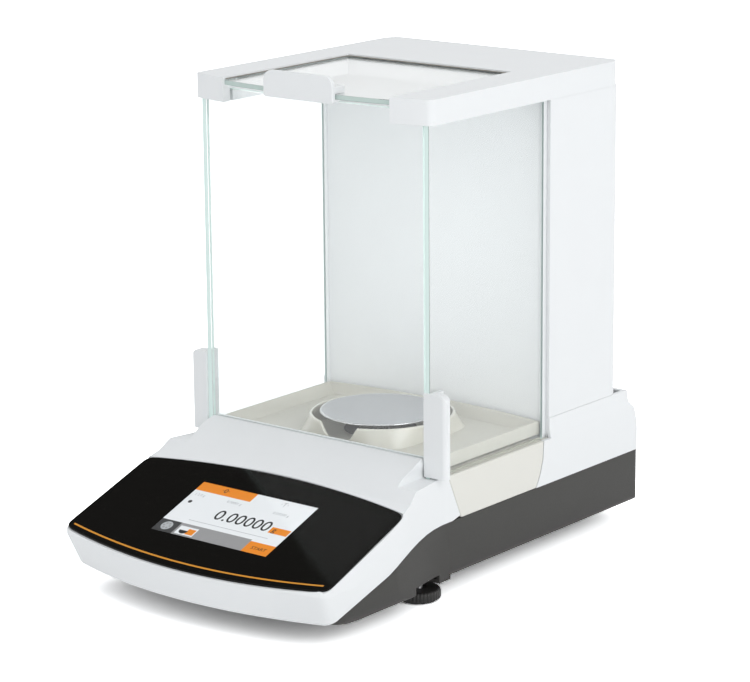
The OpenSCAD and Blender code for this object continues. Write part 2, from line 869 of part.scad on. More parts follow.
// Clip that holds the front edge of the top door, with an upright grip
module top_door_handle() {
    face = frame_front - 1.6;
    color(white) difference() {
        union() {
            along(face, face + 3) handle_tab();
            box([-tab_x + 2, face + 3 - eps, hatch_top], [tab_x - 2, face + 15, hatch_top + 4.4]);
            box([-tab_x + 2, face + 3 - eps, tab_bottom], [tab_x - 2, face + 9, hatch_bottom - 0.4]);
        }
        // seat of the glass edge
        translate([0, hatch_front + frame_bow, hatch_bottom - 0.4])
            cylinder(r = frame_bow, h = top_glass_t + 0.4, $fn = 720);
    }
}

module handle_tab() {
    r = handle_corner;
    right = concat([[tab_x, tab_bottom + 1]], arc([tab_x - r, tab_top - r], r, 0, 90, 8));
    polygon(concat([[tab_x - 1, tab_bottom]], right, mirrored(right), [[1 - tab_x, tab_bottom]]));
}

// Side outline of the top frame: its rear face leans out downwards
module frame_side() {
    polygon([[frame_front - 1, frame_z], [column_rear - 2, frame_z], [column_rear - 9, top_z - 1.5],
             [column_rear - 11, top_z], [frame_front - 1, top_z]]);
}

module frame_plan() {
    polygon(bowed_outline(top_w / 2, frame_bow, 5, frame_front,
                          column_bow, column_corner, column_rear - 2, 12));
}

module top_frame() {
    slot = hatch_x + guide_depth;
    color(white) difference() {
        intersection() {
            translate([0, 0, frame_z]) linear_extrude(frame_h) frame_plan();
            across(-100, 100) frame_side();
        }
        box([-hatch_x, -80, frame_z - 1], [hatch_x, hatch_rear, top_z + 1]);
        // guides of the top door
        box([-slot, guide_front, hatch_bottom - door_play], [slot, guide_rear, hatch_top + door_play]);
        // space under the rear cover
        box([-hatch_x + 2, 84, frame_z - 1], [hatch_x - 2, guide_rear, hatch_top + door_play]);
        // slot of the front glass
        box([-liner_x - seam, glass_front - seam, frame_z - 1],
            [liner_x + seam, glass_back + seam, front_glass_top + seam]);
        both_sides() {
            box([door_x - door_play, door_front - 0.4, frame_z - 1],
                [door_out + door_play, glass_back + 1, groove_top]);
            box([rail_in - door_play, glass_back + 0.6, frame_z - 1],
                [rail_out + door_play, rail_rear + door_play, groove_top + rail_floor]);
        }
    }
}

module upper_rail(side) {
    color(dark) rail_profile(side) difference() {
        box([rail_in, glass_back + 0.9, frame_z], [rail_out, rail_rear, groove_top + rail_floor]);
        box([door_x - door_play, -80, frame_z - 1], [door_out + door_play, rail_rear + 1, groove_top]);
    }
}

// Side outline of the rear cover, offset inwards by o, its roof lowered by o
module rear_side(o) {
    front = rear_seam_line(seam + 0.2);
    edge = column_front;
    back = rear_reach - o;
    polygon(concat(front, [[edge, ledge_z], [edge, column_z - o], [column_rear - o, column_z - o],
                           [column_rear + 1.5 - o, column_z - 8], [rear_reach - 10 - o, ledge_z],
                           [back, band_z + 2], [back, band_z]]));
}

// Cross section of the rear cover: a small ledge under the column
module rear_section(o) {
    x = base_x - o;
    right = [[x, band_z - 1], [x, ledge_z], [column_x + 0.5 - o, ledge_z + 5.5],
             [column_x + 0.3 - o, column_z + 1]];
    polygon(concat(right, mirrored(right)));
}

module rear_body(o) {
    intersection() {
        across(-base_x, base_x) rear_side(o);
        along(0, rear_reach + 1) rear_section(o);
        translate([0, 0, band_z]) linear_extrude(60) housing_plan(o, -front_reach);
    }
}

module rear_cover() {
    bed = groove_z - rail_floor;
    color(white) difference() {
        union() {
            difference() {
                rear_body(0);
                translate([0, 0, -eps]) rear_body(wall);
                // open front and open top under the column
                box([wall - base_x, 40, band_z - 1], [base_x - wall, 100, ledge_z - deck_t]);
                box([-column_x + column_wall, 60, ledge_z],
                    [column_x - column_wall, column_rear - 4, column_z + 1]);
            }
            // deck under the front panel
            intersection() {
                rear_body(0);
                box([-base_x, 60, ledge_z - deck_t], [base_x, column_front + 14, ledge_z]);
            }
            // beds of the lower rails
            both_sides() intersection() {
                rear_body(0);
                box([rail_in - deck_t, 60, bed - deck_t], [base_x - 1, rail_rear + 2, ledge_z]);
            }
        }
        both_sides()
            box([rail_in - door_play, 50, bed], [rail_out + door_play, rail_rear + door_play, ledge_z + 1]);
        for (x = [-1, 1]) at_rear_screw(x) {
            cylinder(d = screw_hole, h = 20);
            translate([0, 0, 12]) cylinder(d = head_hole, h = 20);
        }
    }
}

module column_plan(o) {
    polygon(bowed_outline(column_x - o, 4000, 1, column_front - 20,
                          column_bow - o, column_corner - o, column_rear - o, 12));
}

module column_side(o) {
    back = column_rear - o;
    polygon([[column_front, column_z - 1], [back + 1, column_z - 1], [back + 1, frame_z - 15],
             [back - 1.4, frame_z - 9], [back - 4, frame_z - 3], [back - 7, frame_z + 1],
             [column_front, frame_z + 1]]);
}

module column_shell() {
    color(white) difference() {
        intersection() {
            translate([0, 0, column_z]) linear_extrude(frame_z - column_z) column_plan(0);
            across(-100, 100) column_side(0);
        }
        intersection() {
            translate([0, 0, column_z - 1]) linear_extrude(frame_z - column_z + 2) column_plan(column_wall);
            across(-100, 100) for (d = [-30, 0]) translate([d, 0]) column_side(column_wall);
        }
    }
}

// Hollow front panel of the column with a side wall behind each edge for the door pocket
module column_liner() {
    edge = column_front + 0.4;
    color(white) translate([0, 0, ledge_z]) linear_extrude(frame_z - ledge_z) difference() {
        box2([-liner_x, edge - 0.3], [liner_x, pocket_rear]);
        translate([0, edge + hollow - liner_r]) circle(r = liner_r, $fn = 360);
        difference() {
            box2([column_wall - liner_x, edge], [liner_x - column_wall, pocket_rear + 1]);
            translate([0, edge + hollow - liner_r]) circle(r = liner_r + column_wall, $fn = 360);
        }
    }
}

// Frame of a screw in the rear cover: z runs to the rear
module at_rear_screw(side) {
    translate([side * 60, rear_reach - 17, 60]) rotate([-90, 0, 0]) children();
}

module rear_screws() {
    color(steel) for (x = [-1, 1]) at_rear_screw(x) difference() {
        union() {
            translate([0, 0, 4]) cylinder(d = screw_d, h = 9);
            translate([0, 0, 12.2]) cylinder(d = head_d, h = 2);
        }
        translate([0, 0, 13]) cylinder(d = hex_d, h = 4, $fn = 6);
    }
}

// Openings for the sockets in the rear wall of the dark housing
module connector_openings() {
    box([-40, rear_reach - 8, floor_z + 8], [72, rear_reach + 2, band_z - 8]);
}

module connector_plate() {
    color(black) difference() {
        box([-44, socket_face - 2.6, floor_z + 6.6], [76, socket_face, band_z - 5]);
        rear_hole(power_x, 10, 12);
        rear_hole(usb_x, 12.6, 5.2);
        rear_hole(serial_x, 32, 13);
    }
}

module rear_hole(x, w, h) {
    box([x - w / 2, rear_reach - 12, socket_z - h / 2], [x + w / 2, rear_reach + 2, socket_z + h / 2]);
}

module power_inlet() {
    color(black) difference() {
        box([power_x - 4.8, socket_face - 14, socket_z - 5.8], [power_x + 4.8, socket_face, socket_z + 5.8]);
        translate([power_x, socket_face + 1, socket_z]) rotate([90, 0, 0]) difference() {
            cylinder(d = 6.4, h = 10);
            cylinder(d = 2, h = 10);
        }
    }
}

module usb_socket() {
    color(steel) difference() {
        box([usb_x - 6.2, socket_face - 13, socket_z - 2.5], [usb_x + 6.2, socket_face, socket_z + 2.5]);
        box([usb_x - 5.7, socket_face - 11, socket_z - 2], [usb_x + 5.7, socket_face + 1, socket_z + 2]);
    }
}

module serial_socket() {
    color(steel) {
        difference() {
            box([serial_x - 15.6, socket_face - 12, socket_z - 6.3],
                [serial_x + 15.6, socket_face, socket_z + 6.3]);
            box([serial_x - 8.6, socket_face - 6, socket_z - 4],
                [serial_x + 8.6, socket_face + 1, socket_z + 4]);
        }
        for (i = [0:8])
            translate([serial_x + 1.4 * (i - 4), socket_face - 1, socket_z + (i % 2 == 0 ? 1.4 : -1.4)])
                rotate([90, 0, 0]) cylinder(d = 1, h = 6);
    }
}

module weigh_cell() {
    color(steel) translate([0, pan_y, 0]) difference() {
        union() {
            box([-24, -14, plate_top + 5], [24, cell_rear - pan_y, cell_top]);
            for (x = [-18, 18], y = [10, 76]) translate([x, y, plate_top]) cylinder(d = 10, h = 6);
        }
        // parallel guide slots of the load corner
        box([-25, 10, 60], [25, 60, 62]);
        box([-25, 10, 30], [25, 60, 32]);
        box([-25, 10, 30], [25, 12, 62]);
        box([-16, 24, 38], [16, 90, 56]);
    }
}

module magnet() {
    color(steel) translate([0, pan_y + 66, 38]) cylinder(r = 14, h = 17.6);
}

module cal_motor() {
    color(black) translate([cal_x, pan_y + 30, plate_top]) {
        cylinder(r = 10, h = 24);
        translate([0, 0, 24]) cylinder(r = 2, h = 6);
    }
}

module cal_weight() {
    color(steel) translate([cal_x, pan_y - 6, plate_top]) {
        cylinder(r = 9, h = 20);
        box([-5, -16, 0], [5, -8, 12]);
    }
}

module main_board() {
    front = cell_rear + 2.6;
    length = rear_reach - 24 - front;
    post_h = 6;
    top = post_h + board_t;
    color(board) translate([0, front, plate_top]) {
        box([-78, 0, post_h], [78, length, top]);
        for (x = [-68, 68], y = [6, length - 6]) translate([x, y, 0]) cylinder(d = 6, h = post_h);
        // processor, driver and capacitor
        box([-40, 10, top], [-20, 30, top + 2.4]);
        box([0, 14, top], [14, 28, top + 2]);
        translate([30, 20, top]) cylinder(r = 5, h = 12);
    }
}

bottom_housing();
base_plate();
hook_cover();
base_screws();
foot_wheel(-1);  // foot_wheel_left
foot_wheel(1);  // foot_wheel_right
foot_stud(-1);  // foot_stud_left
foot_stud(1);  // foot_stud_right
foot_pad(-1);  // foot_pad_left
foot_pad(1);  // foot_pad_right
foot_bush(-1);  // foot_bush_left
foot_bush(1);  // foot_bush_right
rear_foot(-1);  // rear_foot_left
rear_foot(1);  // rear_foot_right
front_housing();
display_lens();
display_window();
display_module();
display_board();
trim_strip();
chamber_base();
lower_rail(-1);  // lower_rail_left
lower_rail(1);  // lower_rail_right
chamber_tray();
draft_ring();
weighing_pan();
pan_support();
front_glass();
door_glass(-1);  // left_door_glass
door_handle(-1);  // left_door_handle
door_strip(-1);  // left_door_strip
door_glass(1);  // right_door_glass
door_handle(1);  // right_door_handle
door_strip(1);  // right_door_strip
top_door_glass();
top_door_handle();
top_door_bar();
top_frame();
upper_rail(-1);  // upper_rail_left
upper_rail(1);  // upper_rail_right
rear_cover();
column_shell();
column_liner();
rear_screws();
power_inlet();
usb_socket();
serial_socket();
connector_plate();
weigh_cell();
magnet();
cal_weight();
cal_motor();
main_board();
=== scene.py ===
"""Semi-micro balance with a glass draft shield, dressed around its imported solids."""
import json
import math

import bmesh
import bpy
import numpy as np
from mathutils import Matrix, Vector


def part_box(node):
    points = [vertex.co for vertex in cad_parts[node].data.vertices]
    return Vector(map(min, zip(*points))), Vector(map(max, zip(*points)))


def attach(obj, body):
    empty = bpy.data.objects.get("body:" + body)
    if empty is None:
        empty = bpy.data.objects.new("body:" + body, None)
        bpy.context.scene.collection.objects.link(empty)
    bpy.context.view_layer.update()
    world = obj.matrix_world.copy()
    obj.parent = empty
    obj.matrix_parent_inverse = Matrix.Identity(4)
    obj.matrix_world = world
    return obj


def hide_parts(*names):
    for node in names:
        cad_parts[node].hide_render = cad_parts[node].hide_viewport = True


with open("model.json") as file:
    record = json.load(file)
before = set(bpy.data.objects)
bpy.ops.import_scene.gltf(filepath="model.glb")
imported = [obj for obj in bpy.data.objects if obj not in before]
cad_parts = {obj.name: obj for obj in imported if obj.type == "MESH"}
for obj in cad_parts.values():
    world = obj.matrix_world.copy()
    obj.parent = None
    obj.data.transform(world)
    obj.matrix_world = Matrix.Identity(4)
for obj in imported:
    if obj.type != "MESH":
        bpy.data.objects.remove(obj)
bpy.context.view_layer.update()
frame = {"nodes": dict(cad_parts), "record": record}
nodes = frame["nodes"]
record = frame["record"]
slot_of = {part["node"]: part["material_slot"] for part in record["subparts"]}
body_of = {node: body for body, group in record["behaviour"]["bodies"].items() for node in group}

# Camera
# A long lens from the front right and a little above, at the photograph's viewing angle.
# Yaw turns it from +Y towards -X, pitch dips it and roll levels the horizon, all in degrees.
EYE = (1.18003, -1.45318, 0.60825)
YAW, PITCH, ROLL = 38.836, 13.859, -0.4985
FOCAL_PX, IMAGE_W = 2969.3, 750
SENSOR_MM = 36
SIGHT = 50  # metres


def look_matrix(eye, yaw, pitch, roll):
    """Camera axes: forward from yaw and pitch, right level, up square to both, then rolled."""
    yaw, pitch, roll = (math.radians(a) for a in (yaw, pitch, roll))
    ahead = np.array([-math.sin(yaw) * math.cos(pitch), math.cos(yaw) * math.cos(pitch),
                      -math.sin(pitch)])
    level = np.array([math.cos(yaw), math.sin(yaw), 0.0])
    upright = np.cross(level, ahead)
    right = level * math.cos(roll) + upright * math.sin(roll)
    up = upright * math.cos(roll) - level * math.sin(roll)
    return Matrix([[right[i], up[i], -ahead[i], eye[i]] for i in range(3)] + [[0, 0, 0, 1]])


camera = bpy.data.objects.new("camera", bpy.data.cameras.new("camera"))
camera.data.sensor_width = SENSOR_MM
camera.data.lens = FOCAL_PX / IMAGE_W * SENSOR_MM
camera.data.clip_end = SIGHT
camera.matrix_world = look_matrix(EYE, YAW, PITCH, ROLL)
bpy.context.scene.collection.objects.link(camera)
bpy.context.scene.camera = camera
bpy.context.scene.view_settings.view_transform = "Standard"


# Light tent
# An even pale surround lights the object. The camera sees it white, and what the object
# mirrors darkens overhead, as the open top of a tent does. Through glass it darkens less.
TENT_LIGHT = "#F4F6F8"
TENT_STRENGTH = 0.72
OVERHEAD = 0.12
THROUGH_GLASS = 0.7
RISE_START, RISE_END = 0.45, 0.62  # upward part of the direction where it sets in and is full


def colour(code):
    """Linear RGBA of an sRGB hex colour: divided by 12.92 when dark, otherwise a 2.4 power."""
    s = np.array([int(code[i:i + 2], 16) / 255 for i in (1, 3, 5)])
    return [*np.where(s <= 0.04045, s / 12.92, ((s + 0.055) / 1.055) ** 2.4), 1.0]


def add(tree, kind, links=None, **settings):
    """Adds a node, sets its properties, and fills its inputs with values or with links."""
    made = tree.nodes.new("ShaderNode" + kind)
    for key, value in settings.items():
        setattr(made, key, value)
    for key, value in (links or {}).items():
        if isinstance(value, bpy.types.NodeSocket):
            tree.links.new(value, made.inputs[key])
        else:
            made.inputs[key].default_value = value
    return made


def seen_directly(tree):
    """1 for camera, glossy and transmission rays, which show the background, and 0 for light."""
    ray = add(tree, "LightPath").outputs
    pair = add(tree, "Math", {0: ray["Is Camera Ray"], 1: ray["Is Glossy Ray"]}, operation="MAXIMUM")
    three = add(tree, "Math", {0: pair.outputs[0], 1: ray["Is Transmission Ray"]}, operation="MAXIMUM")
    return three.outputs[0]


tent = bpy.data.worlds.new("light_tent")
bpy.context.scene.world = tent
tent.use_nodes = True
tree = tent.node_tree
tree.nodes.clear()
rise = add(tree, "SeparateXYZ", {0: add(tree, "TexCoord").outputs["Generated"]})
through = add(tree, "LightPath").outputs["Is Transmission Ray"]
overhead = add(tree, "Math", {0: through, 1: THROUGH_GLASS - OVERHEAD, 2: OVERHEAD},
               operation="MULTIPLY_ADD")
dome = add(tree, "MapRange", {"Value": rise.outputs["Z"], "From Min": RISE_START, "From Max": RISE_END,
                              "To Min": 1.0, "To Max": overhead.outputs[0]})
lit = add(tree, "Background", {"Color": colour(TENT_LIGHT), "Strength": TENT_STRENGTH})
white = add(tree, "Background", {"Color": (1, 1, 1, 1), "Strength": dome.outputs[0]})
both = add(tree, "MixShader", {0: seen_directly(tree), 1: lit.outputs[0], 2: white.outputs[0]})
add(tree, "OutputWorld", {"Surface": both.outputs[0]})


# Paper floor
# White paper under the balance. The camera sees it much brighter than it lights the object,
# so that it fades into the background and keeps only the shadow close to the hull.
PAPER = "#F3F3F3"
PAPER_SEEN, PAPER_MIRRORED = 2.8, 1.25
# Mirrored and seen through glass the paper also glows, less near the middle: painted shade round the
# balance
GLOW_NEAR, GLOW_FAR = 0.14, 0.36
GLOW_START, GLOW_END = 0.3, 1.3  # metres from the middle
FLOOR_HALF = 9  # metres


def new_finish(name):
    """An empty material and its node tree."""
    made = bpy.data.materials.new(name)
    made.use_nodes = True
    made.node_tree.nodes.clear()
    return made, made.node_tree


def coat(tree, shader):
    """Ends a material in its output."""
    add(tree, "OutputMaterial", {"Surface": shader.outputs[0]})


paper, tree = new_finish("white_paper")
seen = seen_directly(tree)
bare = add(tree, "LightPath").outputs["Is Camera Ray"]
mirrored = add(tree, "Mix", {0: seen, 6: colour(PAPER), 7: (*[PAPER_MIRRORED] * 3, 1)},
               data_type="RGBA", clamp_result=False)
shown = add(tree, "Mix", {0: bare, 6: mirrored.outputs[2], 7: (*[PAPER_SEEN] * 3, 1)},
            data_type="RGBA", clamp_result=False)
sheet = add(tree, "BsdfDiffuse", {"Color": shown.outputs[2], "Roughness": 0.0})
reach = add(tree, "VectorMath", {0: add(tree, "NewGeometry").outputs["Position"]}, operation="LENGTH")
painted_shade_fade = add(tree, "MapRange", {"Value": reach.outputs["Value"], "From Min": GLOW_START,
                              "From Max": GLOW_END, "To Min": GLOW_NEAR, "To Max": GLOW_FAR},
           interpolation_type="SMOOTHSTEP")
hidden = add(tree, "Math", {0: seen, 1: bare}, operation="SUBTRACT")
glow = add(tree, "Math", {0: hidden.outputs[0], 1: painted_shade_fade.outputs[0]}, operation="MULTIPLY")
lift = add(tree, "Emission", {"Color": (1, 1, 1, 1), "Strength": glow.outputs[0]})
coat(tree, add(tree, "AddShader", {0: sheet.outputs[0], 1: lift.outputs[0]}))

floor = bpy.data.meshes.new("floor")
floor.from_pydata([(x * FLOOR_HALF, y * FLOOR_HALF, 0) for x, y in ((-1, -1), (1, -1), (1, 1), (-1, 1))],
                  [], [(0, 1, 2, 3)])
floor.materials.append(paper)
floor = bpy.data.objects.new("floor", floor)
bpy.context.scene.collection.objects.link(floor)


# Soft boxes
# Three square lamps: a key from the right, a fill from the front left and a weak one overhead.
# The camera doesn't see them.
def soft_box(name, spot, aim, size, power):
    """A square area lamp at spot, turned to face aim."""
    lamp = bpy.data.lights.new(name, "AREA")
    lamp.shape, lamp.size, lamp.energy = "SQUARE", size, power
    lamp = bpy.data.objects.new(name, lamp)
    lamp.visible_camera = False
    back = np.subtract(spot, aim) / np.linalg.norm(np.subtract(spot, aim))
    side = np.cross((0, 0, 1), back)
    side /= np.linalg.norm(side)
    up = np.cross(back, side)
    lamp.matrix_world = Matrix([[side[i], up[i], back[i], spot[i]] for i in range(3)] + [[0, 0, 0, 1]])
    bpy.context.scene.collection.objects.link(lamp)


soft_box("key", spot=(2.2, -0.5, 1.2), aim=(0, 0, 0.15), size=1.6, power=22)
soft_box("fill", spot=(-0.6, -2.2, 1.0), aim=(0, 0, 0.15), size=1.6, power=8)
soft_box("top", spot=(0.2, 0.4, 2.2), aim=(0, 0, 0.2), size=1.4, power=7)


# Lower housing
# A dark grey ABS moulding with a coarse spark-eroded skin, open underneath. A die-cast plate
# closes it, held by six socket screws, and a push-in cap covers the hole for a weighing hook.
CLOUD_SCALE = 35.0
GLOSS_SPREAD, GRAIN_DEPTH = 0.06, 0.0002  # the depths are in metres
METAL_SPREAD, MARK_RELIEF, MARK_DEPTH = 0.08, 0.05, 0.0001
MERGE, FLAT_ANGLE, EDGE_STEPS = 2e-6, 0.6, 3  # metres, degrees, steps across a rounded edge


def moulded(name, code, rough, grain, relief, mottle, shine=0.5):
    """Moulded plastic: noise of the given grain in mm sets gloss and relief, wide noise the tone."""
    made, tree = new_finish(name)
    place = add(tree, "TexCoord").outputs["Object"]
    fine = add(tree, "TexNoise", {"Vector": place, "Scale": 1000 / (2 * grain), "Detail": 2.0})
    wide = add(tree, "TexNoise", {"Vector": place, "Scale": CLOUD_SCALE, "Detail": 3.0})
    base = np.array(colour(code)[:3])
    tone = add(tree, "Mix", {0: wide.outputs[0], 6: [*(base * (1 - mottle)), 1],
                             7: [*np.minimum(base * (1 + mottle), 1), 1]}, data_type="RGBA")
    gloss = add(tree, "MapRange", {"Value": fine.outputs[0], "To Min": rough - GLOSS_SPREAD,
                                   "To Max": rough + GLOSS_SPREAD})
    bump = add(tree, "Bump", {"Height": fine.outputs[0], "Strength": relief, "Distance": GRAIN_DEPTH})
    coat(tree, add(tree, "BsdfPrincipled", {"Base Color": tone.outputs[2], "Roughness": gloss.outputs[0],
                                            "Specular IOR Level": shine, "Normal": bump.outputs[0]}))
    return made


def metal(name, code, rough, lay, marks):
    """Worked metal: noise at a spacing of marks in mm, drawn out by lay, varies the gloss."""
    made, tree = new_finish(name)
    place = add(tree, "TexCoord").outputs["Object"]
    drawn = add(tree, "Mapping", {"Vector": place, "Scale": lay})
    lines = add(tree, "TexNoise", {"Vector": drawn.outputs[0], "Scale": 1000 / (2 * marks),
                                   "Detail": 4.0})
    gloss = add(tree, "MapRange", {"Value": lines.outputs[0], "To Min": rough - METAL_SPREAD,
                                   "To Max": rough + METAL_SPREAD})
    bump = add(tree, "Bump", {"Height": lines.outputs[0], "Strength": MARK_RELIEF,
                              "Distance": MARK_DEPTH})
    coat(tree, add(tree, "BsdfPrincipled", {"Base Color": colour(code), "Metallic": 1.0,
                                            "Roughness": gloss.outputs[0], "Normal": bump.outputs[0]}))
    return made


def dress(finish, *names):
    """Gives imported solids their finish."""
    for name in names:
        nodes[name].data.materials.clear()
        nodes[name].data.materials.append(finish)


def fit(piece, node):
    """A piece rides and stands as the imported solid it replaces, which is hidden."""
    bpy.context.scene.collection.objects.link(piece)
    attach(piece, body_of[node])
    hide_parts(node)
    return piece


def softened(node, width, finish, angle=30, cutter=None):
    """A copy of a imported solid: triangles joined, the cutter's mesh taken away where there is one,
    flats made whole and edges rounded by width in mm."""
    mesh = nodes[node].data.copy()
    form = bmesh.new()
    form.from_mesh(mesh)
    bmesh.ops.remove_doubles(form, verts=form.verts, dist=MERGE)
    if cutter:
        form.to_mesh(mesh)
        pair = [bpy.data.objects.new("cut", data) for data in (mesh, cutter)]
        for half in pair:
            bpy.context.scene.collection.objects.link(half)
        cut = pair[0].modifiers.new("cut", "BOOLEAN")
        cut.object, cut.operation, cut.solver = pair[1], "DIFFERENCE", "EXACT"
        view = bpy.context.evaluated_depsgraph_get()
        mesh = bpy.data.meshes.new_from_object(pair[0].evaluated_get(view))
        for half in pair:
            bpy.data.objects.remove(half)
        form.clear()
        form.from_mesh(mesh)
    bmesh.ops.dissolve_limit(form, angle_limit=math.radians(FLAT_ANGLE), verts=form.verts,
                             edges=form.edges)
    form.to_mesh(mesh)
    form.free()
    mesh.shade_smooth()
    mesh.set_sharp_from_angle(angle=math.radians(angle))
    mesh.materials.clear()
    mesh.materials.append(finish)
    piece = bpy.data.objects.new(node + "_form", mesh)
    edges = piece.modifiers.new("edges", "BEVEL")
    edges.width, edges.segments, edges.limit_method = width / 1000, EDGE_STEPS, "ANGLE"
    edges.angle_limit = math.radians(angle)
    edges.harden_normals = True
    return fit(piece, node)


# ABS with a coarse eroded grain: a dull, slightly rough dark grey
dark_abs = moulded("eroded_dark_abs", "#403F3D", 0.55, grain=0.5, relief=0.12, mottle=0.03, shine=0.25)
# Powder-coated die casting: orange-peel relief, low shine
coated_casting = moulded("coated_die_casting", "#3A3B3D", 0.55, grain=0.8, relief=0.2, mottle=0.04)
# Plain black ABS: small parts, low gloss
black_abs = moulded("moulded_black_abs", "#1B1B1B", 0.45, grain=0.35, relief=0.06, mottle=0.03)
# Zinc-plated socket screws: satin, with a faintly cloudy gloss
plated_steel = metal("zinc_plated_steel", "#A9AAAC", 0.35, lay=(1, 1, 1), marks=1.6)
softened("bottom_housing", 1.0, dark_abs)
dress(coated_casting, "base_plate")
dress(black_abs, "hook_cover")
dress(plated_steel, "base_screws")


# Levelling feet
# A knurled wheel moulded on a threaded steel stud turns in a brass bush under each side.
# The stud stands in a rubber pad that doesn't turn. Two plain rubber feet stand at the rear.
WHEEL_R, WHEEL_TOP, WHEEL_FOOT = 14.2, 8.0, 1.0
GRIPS, GRIP_DEPTH, GRIP_SHARE, GRIP_STEPS = 36, 0.55, 0.25, 12
RECESS_IN, RECESS_OUT, RECESS = 4.8, 5.2, 0.5  # round the stud, in the top of the wheel
STUD_R, STUD_FOOT, THREAD_DEPTH, PITCH_MM = 2.5, 2.0, 0.22, 0.8
STUD_SIDES, STUD_ROWS = 24, 8  # points round it, and rows for each turn of its thread
DOUBLE = 1e-7  # metres within which two points are one


def cells(rows, columns, looped=False):
    """Quads between rows of points that close on themselves; looped joins the last row to the first."""
    r, c = np.meshgrid(np.arange(rows if looped else rows - 1), np.arange(columns), indexing="ij")
    up, on = (r + 1) % rows, (c + 1) % columns
    quads = [r * columns + c, r * columns + on, up * columns + on, up * columns + c]
    return np.stack(quads, -1).reshape(-1, 4)


def shaped(node, points, faces, finish, sharp=35):
    """A new piece from points in mm, its doubles merged, smooth but for edges above the given angle."""
    mesh = bpy.data.meshes.new(node + "_form")
    mesh.from_pydata(np.reshape(points, (-1, 3)) / 1000, [], faces)
    form = bmesh.new()
    form.from_mesh(mesh)
    bmesh.ops.remove_doubles(form, verts=form.verts, dist=DOUBLE)
    form.to_mesh(mesh)
    form.free()
    mesh.shade_smooth()
    mesh.set_sharp_from_angle(angle=math.radians(sharp))
    mesh.materials.append(finish)
    return fit(bpy.data.objects.new(node + "_form", mesh), node)


def about(axis_x, axis_y, radius, height, turn):
    """Points on circles about an upright axis: radius and height for each row, turn for each column."""
    x, y = axis_x + radius * np.cos(turn), axis_y + radius * np.sin(turn)
    return np.stack(np.broadcast_arrays(x, y, height), -1)


def wheel_points(x, y):
    """Rows round a closed profile; each radius loses the grip depth where cos(GRIPS * turn) is high."""
    profile = np.array([  # radius, height, share of the grip
        (STUD_R, WHEEL_FOOT, 0), (WHEEL_R - 2.6, WHEEL_FOOT, 0), (WHEEL_R - 1.2, WHEEL_FOOT, 0.2),
        (WHEEL_R - 0.4, WHEEL_FOOT + 0.3, 0.8), (WHEEL_R, WHEEL_FOOT + 1.0, 1),
        (WHEEL_R, WHEEL_TOP - 1.9, 1), (WHEEL_R - 0.35, WHEEL_TOP - 1.1, 0.9),
        (WHEEL_R - 1.2, WHEEL_TOP - 0.3, 0.4), (WHEEL_R - 2.2, WHEEL_TOP, 0), (RECESS_OUT, WHEEL_TOP, 0),
        (RECESS_IN, WHEEL_TOP - RECESS, 0), (STUD_R, WHEEL_TOP - RECESS, 0)])
    turn = np.linspace(0, 2 * np.pi, GRIPS * GRIP_STEPS, endpoint=False)
    scallop = np.clip((np.cos(GRIPS * turn) + GRIP_SHARE) / (1 + GRIP_SHARE), 0, 1)
    radius, height, share = profile.T[:, :, None]
    return about(x, y, radius - share * GRIP_DEPTH * scallop, height, turn)


def stud_points(x, y, top):
    """Rows up the stud: the radius follows a cosine of height over pitch less turn, a helix."""
    turn = np.linspace(0, 2 * np.pi, STUD_SIDES, endpoint=False)
    height = np.arange(STUD_FOOT, top, PITCH_MM / STUD_ROWS)[:, None]
    wave = 0.5 - 0.5 * np.cos(2 * np.pi * height / PITCH_MM - turn)
    thread = about(x, y, STUD_R - THREAD_DEPTH * wave, height, turn)
    foot = about(x, y, np.zeros((1, 1)), STUD_FOOT, turn)
    tip = about(x, y, np.zeros((1, 1)), height[-1, 0], turn)
    return np.concatenate([foot, thread, tip])


# Nylon wheel: black, satin, faintly mottled
nylon = moulded("moulded_black_nylon", "#242322", 0.42, grain=0.3, relief=0.06, mottle=0.06)
# Turned brass: fine marks round the bush
turned_brass = metal("turned_brass", "#C9A45A", 0.3, lay=(1, 1, 6), marks=0.8)
# Rubber: dull black with a slight bloom
rubber = moulded("black_rubber", "#161616", 0.75, grain=0.6, relief=0.1, mottle=0.08)
# Stainless steel stud and post: bright, with a faintly cloudy gloss
bright_steel = metal("bright_steel", "#BFC0C2", 0.28, lay=(1, 1, 1), marks=1.0)
for side in ("left", "right"):
    low, high = np.array(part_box("foot_stud_" + side)) * 1000
    foot_x, foot_y = (low[:2] + high[:2]) / 2
    points = wheel_points(foot_x, foot_y)
    shaped("foot_wheel_" + side, points, cells(*points.shape[:2], looped=True), nylon)
    points = stud_points(foot_x, foot_y, high[2])
    shaped("foot_stud_" + side, points, cells(*points.shape[:2]), bright_steel, sharp=60)
    dress(turned_brass, "foot_bush_" + side)
    dress(rubber, "foot_pad_" + side, "rear_foot_" + side)


# Front housing
# The white upper shell: a raised middle behind the display, low shoulders beside it and a bowed
# chin. ABS with a fine even grain, clipped over the dark housing along a thin open seam.
SLOPE = math.radians(20.1)
LENS_T = 1.6
SCREEN_W, SCREEN_L = 95.0, 54.0
LENS_SIDE, LENS_FLARE = 106.8, 0.022
LENS_TIP, LENS_BOW = -82.7, 458.0
LENS_REAR, LENS_REAR_BOW = 22.0, 555.0
CORNER = 40  # the higher, the tighter the lens corners
SEAT_OUT, SEAT_BACK = 1.6, 0.2  # how far the cut for the seat passes the lens
SEAT_SINK, SEAT_CUT, SEAT_STEPS = 0.05, 6.0, 240


def on_display(points):
    """Display mm to place: x across, y up the slope from the picture's rear edge, z outwards."""
    x, y, z = np.moveaxis(np.asarray(points, float), -1, 0)
    rear = np.array(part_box("display_window")[1]) * 1000
    return np.stack([x, y * math.cos(SLOPE) - z * math.sin(SLOPE) + rear[1] - LENS_T * math.sin(SLOPE),
                     y * math.sin(SLOPE) + z * math.cos(SLOPE) + rear[2]], -1)


